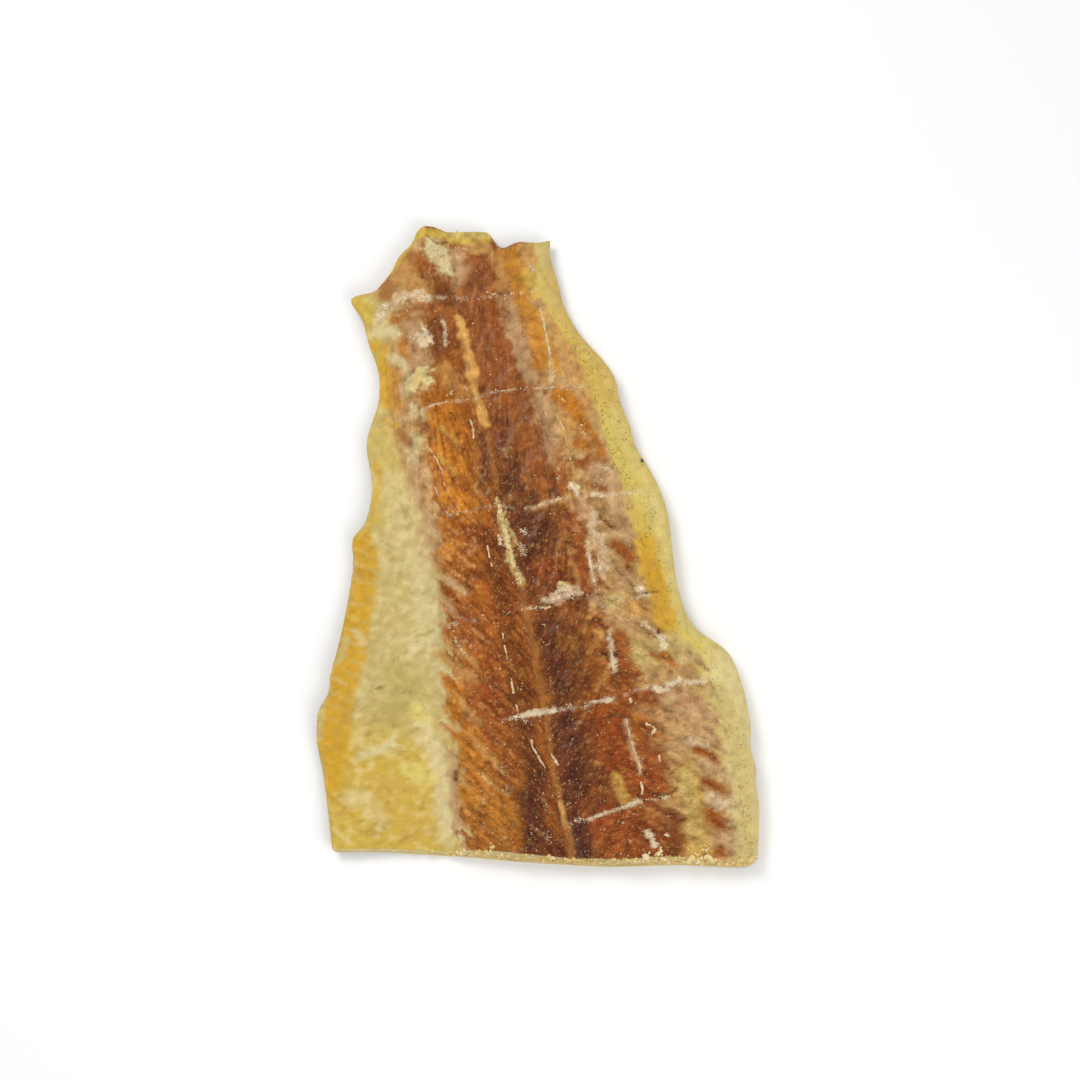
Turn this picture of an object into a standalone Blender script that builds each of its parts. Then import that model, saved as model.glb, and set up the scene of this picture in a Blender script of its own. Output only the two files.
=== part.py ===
"""A piece of split, salted and dried cod, lying flesh side up.

X runs across the fish, Y along it towards the tail, and Z up. The skin side rests on Z = 0, and the
origin is under the middle of the piece. The wide end is sawn across, the narrow end is torn. Four
sections lie side by side: a thin belly flap, the belly flesh, the back flesh, and a rounded rim of fat.
Sizes are in millimetres until the mesh is made.
"""

import math

import bmesh
import bpy
import numpy as np
from mathutils import Vector, noise

MM = 0.001

# Lines along the fish, each from the sawn end to the torn end, as (x, y).
BELLY_EDGE = [
    (-78.2, -121.2), (-80, -107), (-82.4, -91), (-84.9, -79), (-84.3, -67), (-80.6, -61), (-80.0, -54),
    (-76.4, -39), (-73.2, -21), (-71.7, -8), (-72.6, 0), (-68, 5), (-65, 15), (-65.2, 25), (-67.2, 39),
    (-62.6, 55), (-62.8, 67), (-66.8, 78), (-69.4, 88), (-73, 93), (-74.6, 96), (-72.8, 98.6),
    (-67.2, 97.8), (-62.5, 101.5), (-58, 108), (-54.8, 114.6), (-50.3, 119), (-47.8, 124.9),
]
FLAP_LINE = [
    (-29.3, -121.8), (-31.5, -105), (-33, -75), (-36.3, -40), (-39, -14), (-43, 6), (-53, 31), (-57.8, 55),
    (-59.5, 70), (-58.5, 84), (-54, 100), (-45.5, 124.8),
]
MIDDLE_LINE = [
    (13.6, -123), (6, -85), (0.7, -61), (-5.5, -27), (-13.3, 5), (-20.8, 45), (-28.9, 86), (-32, 111),
    (-32.6, 124),
]
RIM_LINE = [
    (79.7, -123), (77.4, -102), (73, -80), (67.3, -58), (59.4, -43), (48.7, -32), (43, -15), (37.4, 9),
    (26.6, 39), (17.3, 69), (6, 88), (0, 103), (-2, 121),
]
BACK_EDGE = [
    (84.2, -123.6), (84.7, -114), (84.8, -102), (83.7, -96), (84.2, -90), (82, -82), (82.3, -74), (79.6, -59),
    (73.7, -44.5), (60.4, -34.8), (54.9, -20), (53.2, -9), (51.4, 9), (48, 20), (43.2, 29.5), (38.5, 37),
    (37, 44), (33, 54), (30.6, 65), (25.3, 72.6), (16.6, 83), (10.6, 94), (8.8, 102), (5.6, 113), (5.3, 121.2),
]
LINES = (BELLY_EDGE, FLAP_LINE, MIDDLE_LINE, RIM_LINE, BACK_EDGE)

# Lines across the fish: the torn end with its ledge and notch, and the sawn end.
TORN_END = [
    (-47.8, 124.9), (-45.2, 127.2), (-41, 126.8), (-36, 124.3), (-22, 124.7), (-18.6, 124.3), (-17.6, 119.6),
    (-16, 117.9), (-12.4, 118), (-10, 119.8), (-7.4, 120.7), (-0.4, 120.1), (3, 120.7), (5.3, 121.2),
]
SAWN_END = [
    (-78.2, -121.6), (-61, -121.2), (-47, -121.9), (-26, -123.2), (-11, -124.6), (7, -125.8), (31, -127),
    (52, -126), (75.7, -127.2), (81.4, -126.4), (84.2, -124),
]
SAWN_REACH, TORN_REACH = 0.1, 0.12

# Thickness of the flesh along the fish, as (y, thickness), and the share of it across the sections,
# where 0 is the belly edge, 1 the flap line, 2 the middle line, 3 the rim line and 4 the back edge.
BODY = [(-128, 10.2), (-70, 11.6), (0, 11.0), (55, 9.0), (95, 6.6), (128, 4.4)]
SECTION = [
    (0, 0.33), (0.5, 0.40), (0.92, 0.43), (1.08, 0.80), (1.35, 0.97), (1.6, 1.0), (1.88, 0.90), (2, 0.86),
    (2.12, 0.90), (2.45, 1.0), (2.8, 0.92), (3, 0.78), (3.3, 0.76), (3.6, 0.84), (4, 0.80),
]
TAIL_SHARE = 0.86
TAIL_FROM, TAIL_TO = 40, 115

# The rounded edges: how far in the rounding reaches, how high on the edge the outline lies, and how far
# the skin is drawn in below it, both as a share of the thickness. The saw's cut leans over the skin.
BELLY_ROUND, BACK_ROUND, TORN_ROUND = 3.2, 6.5, 3.0
EDGE_HEIGHT = 0.45
UNDERCUT, UNDERCUT_HALFWAY = 0.22, 0.25
HALFWAY_DOWN = 0.6
SAW_LEAN = 0.24

# How far the dried piece has curled off its resting plane.
BELLY_CURL, BACK_CURL, TAIL_CURL = 3.2, 2.2, 3.2
CURL_FROM, CURL_TO = 0.52, 1.1
TAIL_CURL_FROM, TAIL_CURL_TO = 58, 128
WAVE_LENGTH, WAVE = 74, 0.32

# Relief on the flesh: broad flakes that meet in a V on the middle line, the cord of the backbone's
# bed, dents of the drying rack, and lumps of crust as (x, y, half width, half length, height).
FLAKE_PITCH, FLAKE_SLOPE, FLAKE_HEIGHT = 20, 1.25, 0.32
CORD_WIDTH, CORD_HEIGHT = 1.9, 0.8
RACK_FIRST, RACK_PITCH, RACK_COUNT, RACK_TILT = -108.5, 42.3, 6, 0.13
RACK_WIDTH, RACK_DEPTH = 2.2, 0.45
CRUSTS = [(-46.5, 63, 3.6, 4.6, 1.3), (-38.6, 112, 6, 7, 0.9), (-11.5, -2, 2.6, 15, 1.1), (10, -21.5, 7, 3.6, 0.8)]
UNEVEN, UNEVEN_LENGTH = 0.55, 26
SAW_MARK, SAW_MARK_LENGTH = 0.5, 9

# Mesh density: columns in each of the four sections, rows along the fish, and the same underneath.
COLUMNS, ROWS = (9, 12, 13, 9), 86
UNDER_COLUMNS, UNDER_ROWS = (6, 6, 7, 5), 44
CROWDING = 0.55
SAMPLES = 12
SHARP_EDGE = 50


def smooth_line(points):
    """Points along a smooth curve through the given ones."""
    knots = np.array(points, float)
    ends = np.vstack([2 * knots[0] - knots[1], knots, 2 * knots[-1] - knots[-2]])
    t = np.linspace(0, 1, SAMPLES, endpoint=False)[:, None]
    spans = []
    for a, b, c, d in zip(ends, ends[1:], ends[2:], ends[3:]):
        square = 2 * a - 5 * b + 4 * c - d
        cube = 3 * b - a - 3 * c + d
        spans.append(b + 0.5 * ((c - a) * t + square * t**2 + cube * t**3))
    return np.vstack(spans + [knots[-1:]])


def straight_line(points):
    """Points along the straight runs between the given ones."""
    corners = np.array(points, float)
    t = np.linspace(0, len(corners) - 1, SAMPLES * len(corners))
    return np.stack([np.interp(t, np.arange(len(corners)), corners[:, k]) for k in (0, 1)], axis=-1)


def curve_at(points, value):
    """The second coordinate of a smooth curve through the points, where the first has this value."""
    line = smooth_line(points)
    return np.interp(value, line[:, 0], line[:, 1])


def x_at(points, y):
    """How far across a line along the fish lies at y."""
    return curve_at(sorted((b, a) for a, b in points), y)


def rail(points, station):
    """The point at each station, from 0 to 1, of a line along the fish."""
    line = smooth_line(points)
    step = np.abs(np.diff(line[:, 1])) + 0.12 * np.abs(np.diff(line[:, 0]))
    reached = np.concatenate([[0], np.cumsum(step)])
    reached /= reached[-1]
    return np.stack([np.interp(station, reached, line[:, k]) for k in (0, 1)], axis=-1)


def ease(value, low, high):
    """0 below low, 1 above high and a smooth step between."""
    t = np.clip((value - low) / (high - low), 0, 1)
    return t * t * (3 - 2 * t)


def bump(distance, width):
    """1 at distance 0, falling to 0 beyond about two widths."""
    return np.exp(-((distance / width) ** 2))


def noise_at(x, y, length):
    """Smooth unevenness from -1 to 1 whose bumps are about this long."""
    return np.array([noise.noise(Vector((a / length, b / length, 0.37))) for a, b in zip(x, y)])


def crowded(count):
    """Steps from 0 to 1 that lie closer together at both ends."""
    t = np.linspace(0, 1, count + 1)
    return (1 - CROWDING) * t + CROWDING * (1 - np.cos(math.pi * t)) / 2


def across_steps(columns):
    """The across coordinate, from 0 to 4, of each column of vertices."""
    steps = [section + crowded(count)[:-1] for section, count in enumerate(columns)]
    return np.concatenate(steps + [[len(columns)]])


def between_lines(across, station):
    """The point at each across coordinate, straight from one line along the fish to the next."""
    rails = np.stack([rail(points, station) for points in LINES])
    section = np.minimum(across.astype(int), len(LINES) - 2)
    share = (across - section)[:, None]
    rows = np.arange(len(station))
    return rails[section, rows] * (1 - share) + rails[section + 1, rows] * share


def plan(across, station):
    """Where each vertex lies seen from above. Each end follows its own line, and this fades inwards."""
    place = between_lines(across, station)
    sawn = between_lines(across, np.zeros(len(across)))
    torn = between_lines(across, np.ones(len(across)))
    to_sawn = curve_at(SAWN_END, sawn[:, 0]) - sawn[:, 1]
    to_torn = np.interp(torn[:, 0], *np.array(TORN_END, float).T) - torn[:, 1]
    place[:, 1] += to_sawn * (1 - ease(station, 0, SAWN_REACH)) + to_torn * ease(station, 1 - TORN_REACH, 1)
    return place


def flesh_thickness(across, y):
    """Thickness without relief. Towards the tail the sections even out."""
    tail = ease(y, TAIL_FROM, TAIL_TO)
    return curve_at(BODY, y) * (curve_at(SECTION, across) * (1 - tail) + TAIL_SHARE * tail)


def curl(x, y):
    """Height of the skin side above the resting plane."""
    left = x_at(BELLY_EDGE, y)
    right = x_at(BACK_EDGE, y)
    side = (2 * x - left - right) / (right - left)
    wave = WAVE * np.sin(2 * math.pi * y / WAVE_LENGTH)
    tail = ease(y, TAIL_CURL_FROM, TAIL_CURL_TO) ** 1.5
    belly = BELLY_CURL * (1 + wave) * ease(-side, CURL_FROM, CURL_TO)
    back = BACK_CURL * (1 - wave) * ease(side, CURL_FROM, CURL_TO)
    return (belly + back) * (1 - tail) + TAIL_CURL * tail


def edge_rounding(x, y):
    """Share of the full thickness: less at the belly, back and torn edges, and 1 inside them."""
    share = np.ones(len(x))
    edges = (
        (smooth_line(BELLY_EDGE), BELLY_ROUND),
        (smooth_line(BACK_EDGE), BACK_ROUND),
        (straight_line(TORN_END), TORN_ROUND),
    )
    for line, reach in edges:
        gap = np.min(np.hypot(x[:, None] - line[:, 0], y[:, None] - line[:, 1]), axis=1)
        outside = 1 - np.clip(gap / reach, 0, 1)
        share = np.minimum(share, EDGE_HEIGHT + (1 - EDGE_HEIGHT) * np.sqrt(1 - outside**2))
    return share


def relief(across, x, y):
    """Flakes, cord, rack dents, crust and unevenness on top of the flesh."""
    aside = x - x_at(MIDDLE_LINE, y)
    flakes = FLAKE_HEIGHT * np.sin(2 * math.pi * (y - FLAKE_SLOPE * np.abs(aside)) / FLAKE_PITCH)
    cord = CORD_HEIGHT * bump(aside, CORD_WIDTH)
    flesh = ease(across, 1, 1.15) * (1 - ease(across, 3, 3.4)) * (1 - ease(y, 85, 120))
    height = flesh * (flakes + cord)
    for count in range(RACK_COUNT):
        line = RACK_FIRST + RACK_PITCH * count + RACK_TILT * x
        height -= RACK_DEPTH * bump(y - line, RACK_WIDTH) * ease(across, 0.5, 1.2)
    for crust_x, crust_y, width, length, high in CRUSTS:
        height += high * bump(x - crust_x, width) * bump(y - crust_y, length)
    return height + UNEVEN * noise_at(x, y, UNEVEN_LENGTH)


def flesh_side(across, station):
    """The upper surface. At the sawn end it stops short of the skin side, as the cut leans."""
    x, y = plan(across, station).T
    rounding = edge_rounding(x, y)
    thick = flesh_thickness(across, y) * rounding
    z = curl(x, y) + thick + relief(across, x, y) * ease(rounding, EDGE_HEIGHT, 0.95)
    lean = SAW_LEAN * thick * (1 - ease(station, 0, 0.05))
    saw_marks = SAW_MARK * noise_at(x, 0 * y, SAW_MARK_LENGTH) * (1 - ease(station, 0, 0.02))
    return np.stack([x, y + lean + saw_marks, z], axis=-1)


def skin_side(across, station):
    """The lower surface, drawn in a little at its edges so that they are round underneath."""
    x, y = plan(across, station).T
    side = 1.0 * (across == len(COLUMNS)) - (across == 0)
    draw = UNDERCUT * flesh_thickness(across, y)
    return np.stack([x - side * draw, y - draw * (station == 1), curl(x, y)], axis=-1)


def place_verts(verts, places):
    for vert, place in zip(verts, places):
        vert.co = Vector(place) * MM


def grid_in(mesh, columns, rows):
    """A grid primitive in the mesh. Gives its vertices, and each one's across and station coordinates."""
    before = len(mesh.verts)
    bmesh.ops.create_grid(mesh, x_segments=sum(columns), y_segments=rows, size=1)
    mesh.verts.ensure_lookup_table()
    mesh.verts.index_update()
    verts = mesh.verts[before:]
    place = np.array([(vert.co.x, vert.co.y) for vert in verts])
    column = np.rint((place[:, 0] + 1) / 2 * sum(columns)).astype(int)
    row = np.rint((place[:, 1] + 1) / 2 * rows).astype(int)
    return verts, across_steps(columns)[column], crowded(rows)[row]


def add_halfway_loop(mesh, across, station):
    """One more loop, between the outlines of the two sides, so that the edge curves in underneath."""
    outline = [edge for edge in mesh.edges if edge.is_boundary]
    made = bmesh.ops.extrude_edge_only(mesh, edges=outline)["geom"]
    loop = {item for item in made if isinstance(item, bmesh.types.BMVert)}
    neighbours = [(vert, edge.other_vert(vert)) for vert in loop for edge in vert.link_edges]
    above = {vert: other.index for vert, other in neighbours if other not in loop}
    source = list(above.values())
    top = flesh_side(across, station)[source]
    bottom = skin_side(across[source], station[source])
    down = np.full(top.shape, HALFWAY_DOWN)
    down[station[source] > 0, :2] = UNDERCUT_HALFWAY
    place_verts(above, top + (bottom - top) * down)


def cod_mesh():
    """The closed body: both sides and the band between their outlines."""
    mesh = bmesh.new()
    verts, across, station = grid_in(mesh, COLUMNS, ROWS)
    place_verts(verts, flesh_side(across, station))
    add_halfway_loop(mesh, across, station)
    verts, across, station = grid_in(mesh, UNDER_COLUMNS, UNDER_ROWS)
    place_verts(verts, skin_side(across, station))
    bmesh.ops.bridge_loops(mesh, edges=[edge for edge in mesh.edges if edge.is_boundary])
    bmesh.ops.recalc_face_normals(mesh, faces=mesh.faces)
    data = bpy.data.meshes.new("cod_piece")
    mesh.to_mesh(data)
    mesh.free()
    data.shade_smooth()
    data.set_sharp_from_angle(angle=math.radians(SHARP_EDGE))
    return data


def dried_flesh():
    """Amber dried flesh, slightly glossy."""
    material = bpy.data.materials.new("dried_flesh")
    material.use_nodes = True
    shader = material.node_tree.nodes["Principled BSDF"]
    shader.inputs["Base Color"].default_value = (0.42, 0.19, 0.06, 1)
    shader.inputs["Roughness"].default_value = 0.45
    shader.inputs["Metallic"].default_value = 0
    return material


def main():
    for old in list(bpy.data.objects):
        bpy.data.objects.remove(old)
    piece = bpy.data.objects.new("cod_piece", cod_mesh())
    piece.data.materials.append(dried_flesh())
    food = bpy.data.collections.new("salted_dried_cod")
    bpy.context.scene.collection.children.link(food)
    food.objects.link(piece)


main()
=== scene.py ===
import math

import bpy
import numpy as np
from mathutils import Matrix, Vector, noise
from mathutils.bvhtree import BVHTree


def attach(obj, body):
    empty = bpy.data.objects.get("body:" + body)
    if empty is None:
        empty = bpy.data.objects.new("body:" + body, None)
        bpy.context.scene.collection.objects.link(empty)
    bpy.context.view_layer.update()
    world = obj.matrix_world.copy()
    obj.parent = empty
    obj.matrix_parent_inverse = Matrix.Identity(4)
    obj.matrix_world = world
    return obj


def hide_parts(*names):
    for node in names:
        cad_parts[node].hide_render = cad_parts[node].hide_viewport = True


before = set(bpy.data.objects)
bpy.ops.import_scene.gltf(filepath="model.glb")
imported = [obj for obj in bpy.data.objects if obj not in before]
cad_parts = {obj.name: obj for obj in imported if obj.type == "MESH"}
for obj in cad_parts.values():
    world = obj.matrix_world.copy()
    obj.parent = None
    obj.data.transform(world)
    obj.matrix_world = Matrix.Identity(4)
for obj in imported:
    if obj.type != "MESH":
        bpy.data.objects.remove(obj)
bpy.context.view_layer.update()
mm = 0.001
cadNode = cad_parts["cod_piece"]
print("frame loaded")

# Lines along the fish in millimetres, from the sawn end to the torn end. They part the belly flap,
# the belly flesh, the back flesh and the rim of fat. The strip is the inner edge of the gold strip.
fishLines = {
    "belly": [
        (-78.2, -121.2), (-80, -107), (-82.4, -91), (-84.9, -79), (-84.3, -67), (-80.6, -61), (-80.0, -54),
        (-76.4, -39), (-73.2, -21), (-71.7, -8), (-72.6, 0), (-68, 5), (-65, 15), (-65.2, 25), (-67.2, 39),
        (-62.6, 55), (-62.8, 67), (-66.8, 78), (-69.4, 88), (-67.2, 97.8), (-58, 108), (-47.8, 124.9),
    ],
    "flap": [
        (-29.3, -121.8), (-31.5, -105), (-33, -75), (-36.3, -40), (-39, -14), (-43, 6), (-53, 31),
        (-57.8, 55), (-59.5, 70), (-58.5, 84), (-54, 100), (-45.5, 124.8),
    ],
    "middle": [
        (12.6, -123), (8.5, -98), (5, -79), (3, -65.5), (-2.5, -32.5), (-6.5, -18.5), (-12.5, -3.5),
        (-15.5, 16), (-20, 44), (-24.5, 63), (-29, 83), (-32, 111), (-32.6, 126),
    ],
    "rim": [
        (79.7, -123), (77.4, -102), (73, -80), (67.3, -58), (59.4, -43), (48.7, -32), (43, -15), (37.4, 9),
        (26.6, 39), (17.3, 69), (6, 88), (0, 103), (-2, 121),
    ],
    "back": [
        (84.2, -123.6), (84.8, -102), (82, -82), (79.6, -59), (73.7, -44.5), (60.4, -34.8), (54.9, -20),
        (53.2, -9), (51.4, 9), (43.2, 29.5), (37, 44), (30.6, 65), (16.6, 83), (8.8, 102), (5.3, 121.2),
    ],
    "strip": [
        (-76, -100), (-73.5, -90), (-71.5, -80), (-71, -65), (-69, -58), (-67, -50), (-65, -40), (-64, -30),
        (-62.5, -18), (-62, -6), (-66, 4),
    ],
}
lineOrder = ("belly", "flap", "middle", "rim", "back")

# The six bars of the drying rack left these dents: how white each is, and its points in millimetres.
rackDents = [
    (0.4, [(-60, 93), (-50, 95.5), (-40, 97), (-28, 96.5), (-15, 98), (0, 100)]),
    (0.4, [(-65, 45.5), (-51, 47.5), (-41, 52.5), (-24.5, 55.5), (-18, 58), (-10, 59), (5, 60), (18, 60.5)]),
    (0.4, [(-34.5, 8.5), (-26.5, 10), (-17.5, 12), (-4, 11.5), (3, 13), (12, 15.5), (26, 16.5), (44, 18.5)]),
    (0.35, [(-39, -35), (-26.5, -33.5), (-4, -28.5), (5, -27.5), (20, -23), (34.5, -24.5), (47, -21.5)]),
    (0.45, [(-15, -72.5), (-9.5, -70.5), (-1.5, -69), (6.5, -67.5), (16.5, -66.5), (22, -64.6), (31, -62.5),
         (40, -59.5), (50, -58), (65, -56)]),
    (0.5, [(12.5, -111), (20, -109), (29, -106), (38, -102.5), (51, -100.5)]),
]


# Curves, steps and noise

def smoothLine(points, samples=10):
    knots = np.array(points, float)
    ends = np.vstack([2 * knots[0] - knots[1], knots, 2 * knots[-1] - knots[-2]])
    t = np.linspace(0, 1, samples, endpoint=False)[:, None]
    spans = []
    for a, b, c, d in zip(ends, ends[1:], ends[2:], ends[3:]):
        square = 2 * a - 5 * b + 4 * c - d
        cube = 3 * b - a - 3 * c + d
        spans.append(b + 0.5 * ((c - a) * t + square * t**2 + cube * t**3))
    return np.vstack(spans + [knots[-1:]])


def pointOn(path, along):
    before, after = path[int(along)], path[int(along) + 1]
    return before + (along % 1) * (after - before)


def xOn(lineName, y):
    line = smoothLine(sorted(fishLines[lineName], key=lambda point: point[1]))
    return np.interp(y, line[:, 1], line[:, 0])


def ease(value, low, high):
    t = np.clip((value - low) / (high - low), 0, 1)
    return t * t * (3 - 2 * t)


def bump(distance, width):
    return np.exp(-((distance / width) ** 2))


rackLines = [(strength, smoothLine(points)) for strength, points in rackDents]


def noiseAt(places, length, seed=0.0, octaves=1):
    scaled = np.asarray(places, float) / length
    scaled = scaled + np.array([seed * 7.31, seed * 3.17, seed * 5.71])
    if octaves == 1:
        return np.array([noise.noise(Vector(p)) for p in scaled])
    return np.array([noise.fractal(Vector(p), 0.9, 2.1, octaves) for p in scaled])


def gapTo(line, x, y):
    points = np.array(line, float)
    gap = np.full(len(x), 1e9)
    for (ax, ay), (bx, by) in zip(points, points[1:]):
        length = (bx - ax) ** 2 + (by - ay) ** 2 + 1e-9
        t = np.clip(((x - ax) * (bx - ax) + (y - ay) * (by - ay)) / length, 0, 1)
        gap = np.minimum(gap, np.hypot(x - ax - t * (bx - ax), y - ay - t * (by - ay)))
    return gap


def tint(red, green, blue):
    share = np.array([red, green, blue]) / 255
    return np.where(share < 0.04045, share / 12.92, ((share + 0.055) / 1.055) ** 2.4)


# Making and finishing pieces

def deselectAll():
    if bpy.context.mode != "OBJECT":
        bpy.ops.object.mode_set(mode="OBJECT")
    bpy.ops.object.select_all(action="DESELECT")


def makeActive(piece):
    deselectAll()
    piece.select_set(True)
    bpy.context.view_layer.objects.active = piece


def copyOfFish(name):
    piece = bpy.data.objects.new(name, cadNode.data.copy())
    bpy.context.scene.collection.objects.link(piece)
    piece.data.materials.clear()
    makeActive(piece)
    bpy.ops.object.mode_set(mode="EDIT")
    bpy.ops.mesh.select_all(action="SELECT")
    bpy.ops.mesh.remove_doubles(threshold=0.000002)
    bpy.ops.object.mode_set(mode="OBJECT")
    return piece


def editFaces(piece, chosen, edit, **settings):
    # Runs one mesh operator on the chosen faces.
    bpy.ops.object.mode_set(mode="EDIT")
    bpy.ops.mesh.select_mode(type="FACE")
    bpy.ops.mesh.select_all(action="DESELECT")
    bpy.ops.object.mode_set(mode="OBJECT")
    piece.data.polygons.foreach_set("select", np.asarray(chosen, bool))
    bpy.ops.object.mode_set(mode="EDIT")
    edit(**settings)
    bpy.ops.object.mode_set(mode="OBJECT")


def mergeIntoQuads(piece, chosen):
    editFaces(piece, chosen, bpy.ops.mesh.tris_convert_to_quads,
              face_threshold=math.radians(30), shape_threshold=math.radians(60))


def faceNormals(piece):
    found = np.zeros(len(piece.data.polygons) * 3)
    piece.data.polygons.foreach_get("normal", found)
    return found.reshape(-1, 3)


def readVerts(piece, what="co"):
    found = np.zeros(len(piece.data.vertices) * 3)
    piece.data.vertices.foreach_get(what, found)
    return found.reshape(-1, 3)


def writeVerts(piece, places):
    piece.data.vertices.foreach_set("co", np.asarray(places, float).ravel())
    piece.data.update()


def applyModifier(piece, kind, **settings):
    makeActive(piece)
    bpy.ops.object.modifier_add(type=kind)
    modifier = piece.modifiers[-1]
    for key, value in settings.items():
        setattr(modifier, key, value)
    bpy.ops.object.modifier_apply(modifier=modifier.name)


def storeMask(piece, name, values):
    attribute = piece.data.attributes.new(name, "FLOAT", "POINT")
    attribute.data.foreach_set("value", np.asarray(values, np.float32))


def storeVector(piece, name, values):
    attribute = piece.data.attributes.new(name, "FLOAT_VECTOR", "POINT")
    attribute.data.foreach_set("vector", np.asarray(values, np.float32).ravel())


def storeColour(piece, name, colours):
    attribute = piece.data.attributes.new(name, "FLOAT_COLOR", "POINT")
    full = np.ones((len(colours), 4), np.float32)
    full[:, :3] = colours
    attribute.data.foreach_set("color", full.ravel())


def finishPiece(piece, material, flat=False):
    makeActive(piece)
    piece.data.materials.append(material)
    if flat:
        bpy.ops.object.shade_flat()
    else:
        bpy.ops.object.shade_smooth()
    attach(piece, "root")
    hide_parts("cod_piece")
    print(piece.name, "has", sum(len(face.vertices) - 2 for face in piece.data.polygons), "triangles")


# What the flesh shows besides its four zones, as points in millimetres.
crackLines = {
    "upperLeft": [(-20.5, 3), (-20, -3), (-18, -12)],
    "left": [(-15, -33), (-13.5, -38), (-12, -45), (-11, -52), (-9.5, -58), (-8, -66), (-7.5, -68)],
    "low": [(-2, -80), (-1, -83), (0, -85), (3, -90)],
    "slit": [(40, -22.3), (43, -21.9), (46.5, -21.6)],
    "upperFold": [(30, -12), (34, -16), (38, -20)],
    "lowerFold": [(36, -33), (40, -35.2), (43, -38), (46, -39.2)],
    "curl": [(12, 32), (13, 28), (13.6, 24)],
    "middle": [(-10.5, 19.5), (-5, 20)],
}
# White lines along the back, with salt on them
whiteLines = {
    "top": [(1, 93), (2.5, 87), (4, 80), (5, 74), (5.3, 65), (5, 61)],
    "upper": [(8, 48), (10.5, 42), (12, 35), (13, 30), (14, 25), (14.5, 20)],
    "middle": [(19.5, -3), (20.3, -8), (21.2, -14), (22.3, -18.5)],
    "lower": [(28, -38), (28.3, -42), (28.6, -46), (29, -50), (29.6, -53)],
    "low": [(34, -71), (35, -76), (37, -83), (39, -89), (39, -92)],
}
# The cord along the middle line
strandLine = [(-31.5, 88), (-29.5, 83), (-28, 77), (-25.5, 66), (-23.5, 55), (-20, 45), (-18, 32), (-16, 20),
              (-14.5, 10), (-12, 0), (-9, -11), (-5.5, -24), (-3, -37), (0, -52), (3, -66), (5, -80),
              (8.5, -98), (10, -108), (13, -123)]
# Rings that bubbles left in the dried film: x, y and radius
bubbleRings = [(-28, -3.5, 4.3), (-21.5, 25.8, 1.6), (-13.5, 34, 1.0), (-10.8, 33.5, 2.0), (-21.5, 19, 2.8)]

tints = {
    "apricot": tint(198, 138, 52),
    "amber": tint(188, 118, 30),
    "honey": tint(172, 105, 32),
    "rust": tint(152, 82, 28),
    "russet": tint(142, 68, 22),
    "brown": tint(158, 97, 47),
    "moss": tint(128, 84, 32),
    "umber": tint(112, 60, 18),
    "plum": tint(94, 46, 24),
    "dusk": tint(78, 38, 26),
    "tan": tint(198, 148, 84),
    "film": tint(193, 156, 102),
    "mauve": tint(196, 158, 114),
    "blush": tint(202, 167, 122),
    "frost": tint(220, 190, 160),
    "straw": tint(204, 166, 80),
    "butter": tint(206, 174, 74),
    "cream": tint(200, 179, 112),
    "ivory": tint(216, 200, 148),
    "lemon": tint(218, 200, 110),
    "gold": tint(208, 160, 44),
    "ochre": tint(188, 138, 46),
    "olive": tint(184, 162, 92),
    "veil": tint(200, 181, 122),
    "rim": tint(207, 184, 96),
    "salt": tint(238, 222, 192),
    "crumb": tint(234, 214, 142),
    "crust": tint(216, 194, 124),
    "strandGold": tint(224, 168, 88),
    "strandTan": tint(164, 104, 46),
    "shadow": tint(88, 54, 20),
}
# Crusty tints stand up from the flesh, dull ones are matt.
crustyTints = ("salt", "crumb", "crust", "frost")
dullTints = ("tan", "film", "mauve", "blush", "frost", "straw", "cream", "ivory", "salt", "crumb", "crust")

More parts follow.
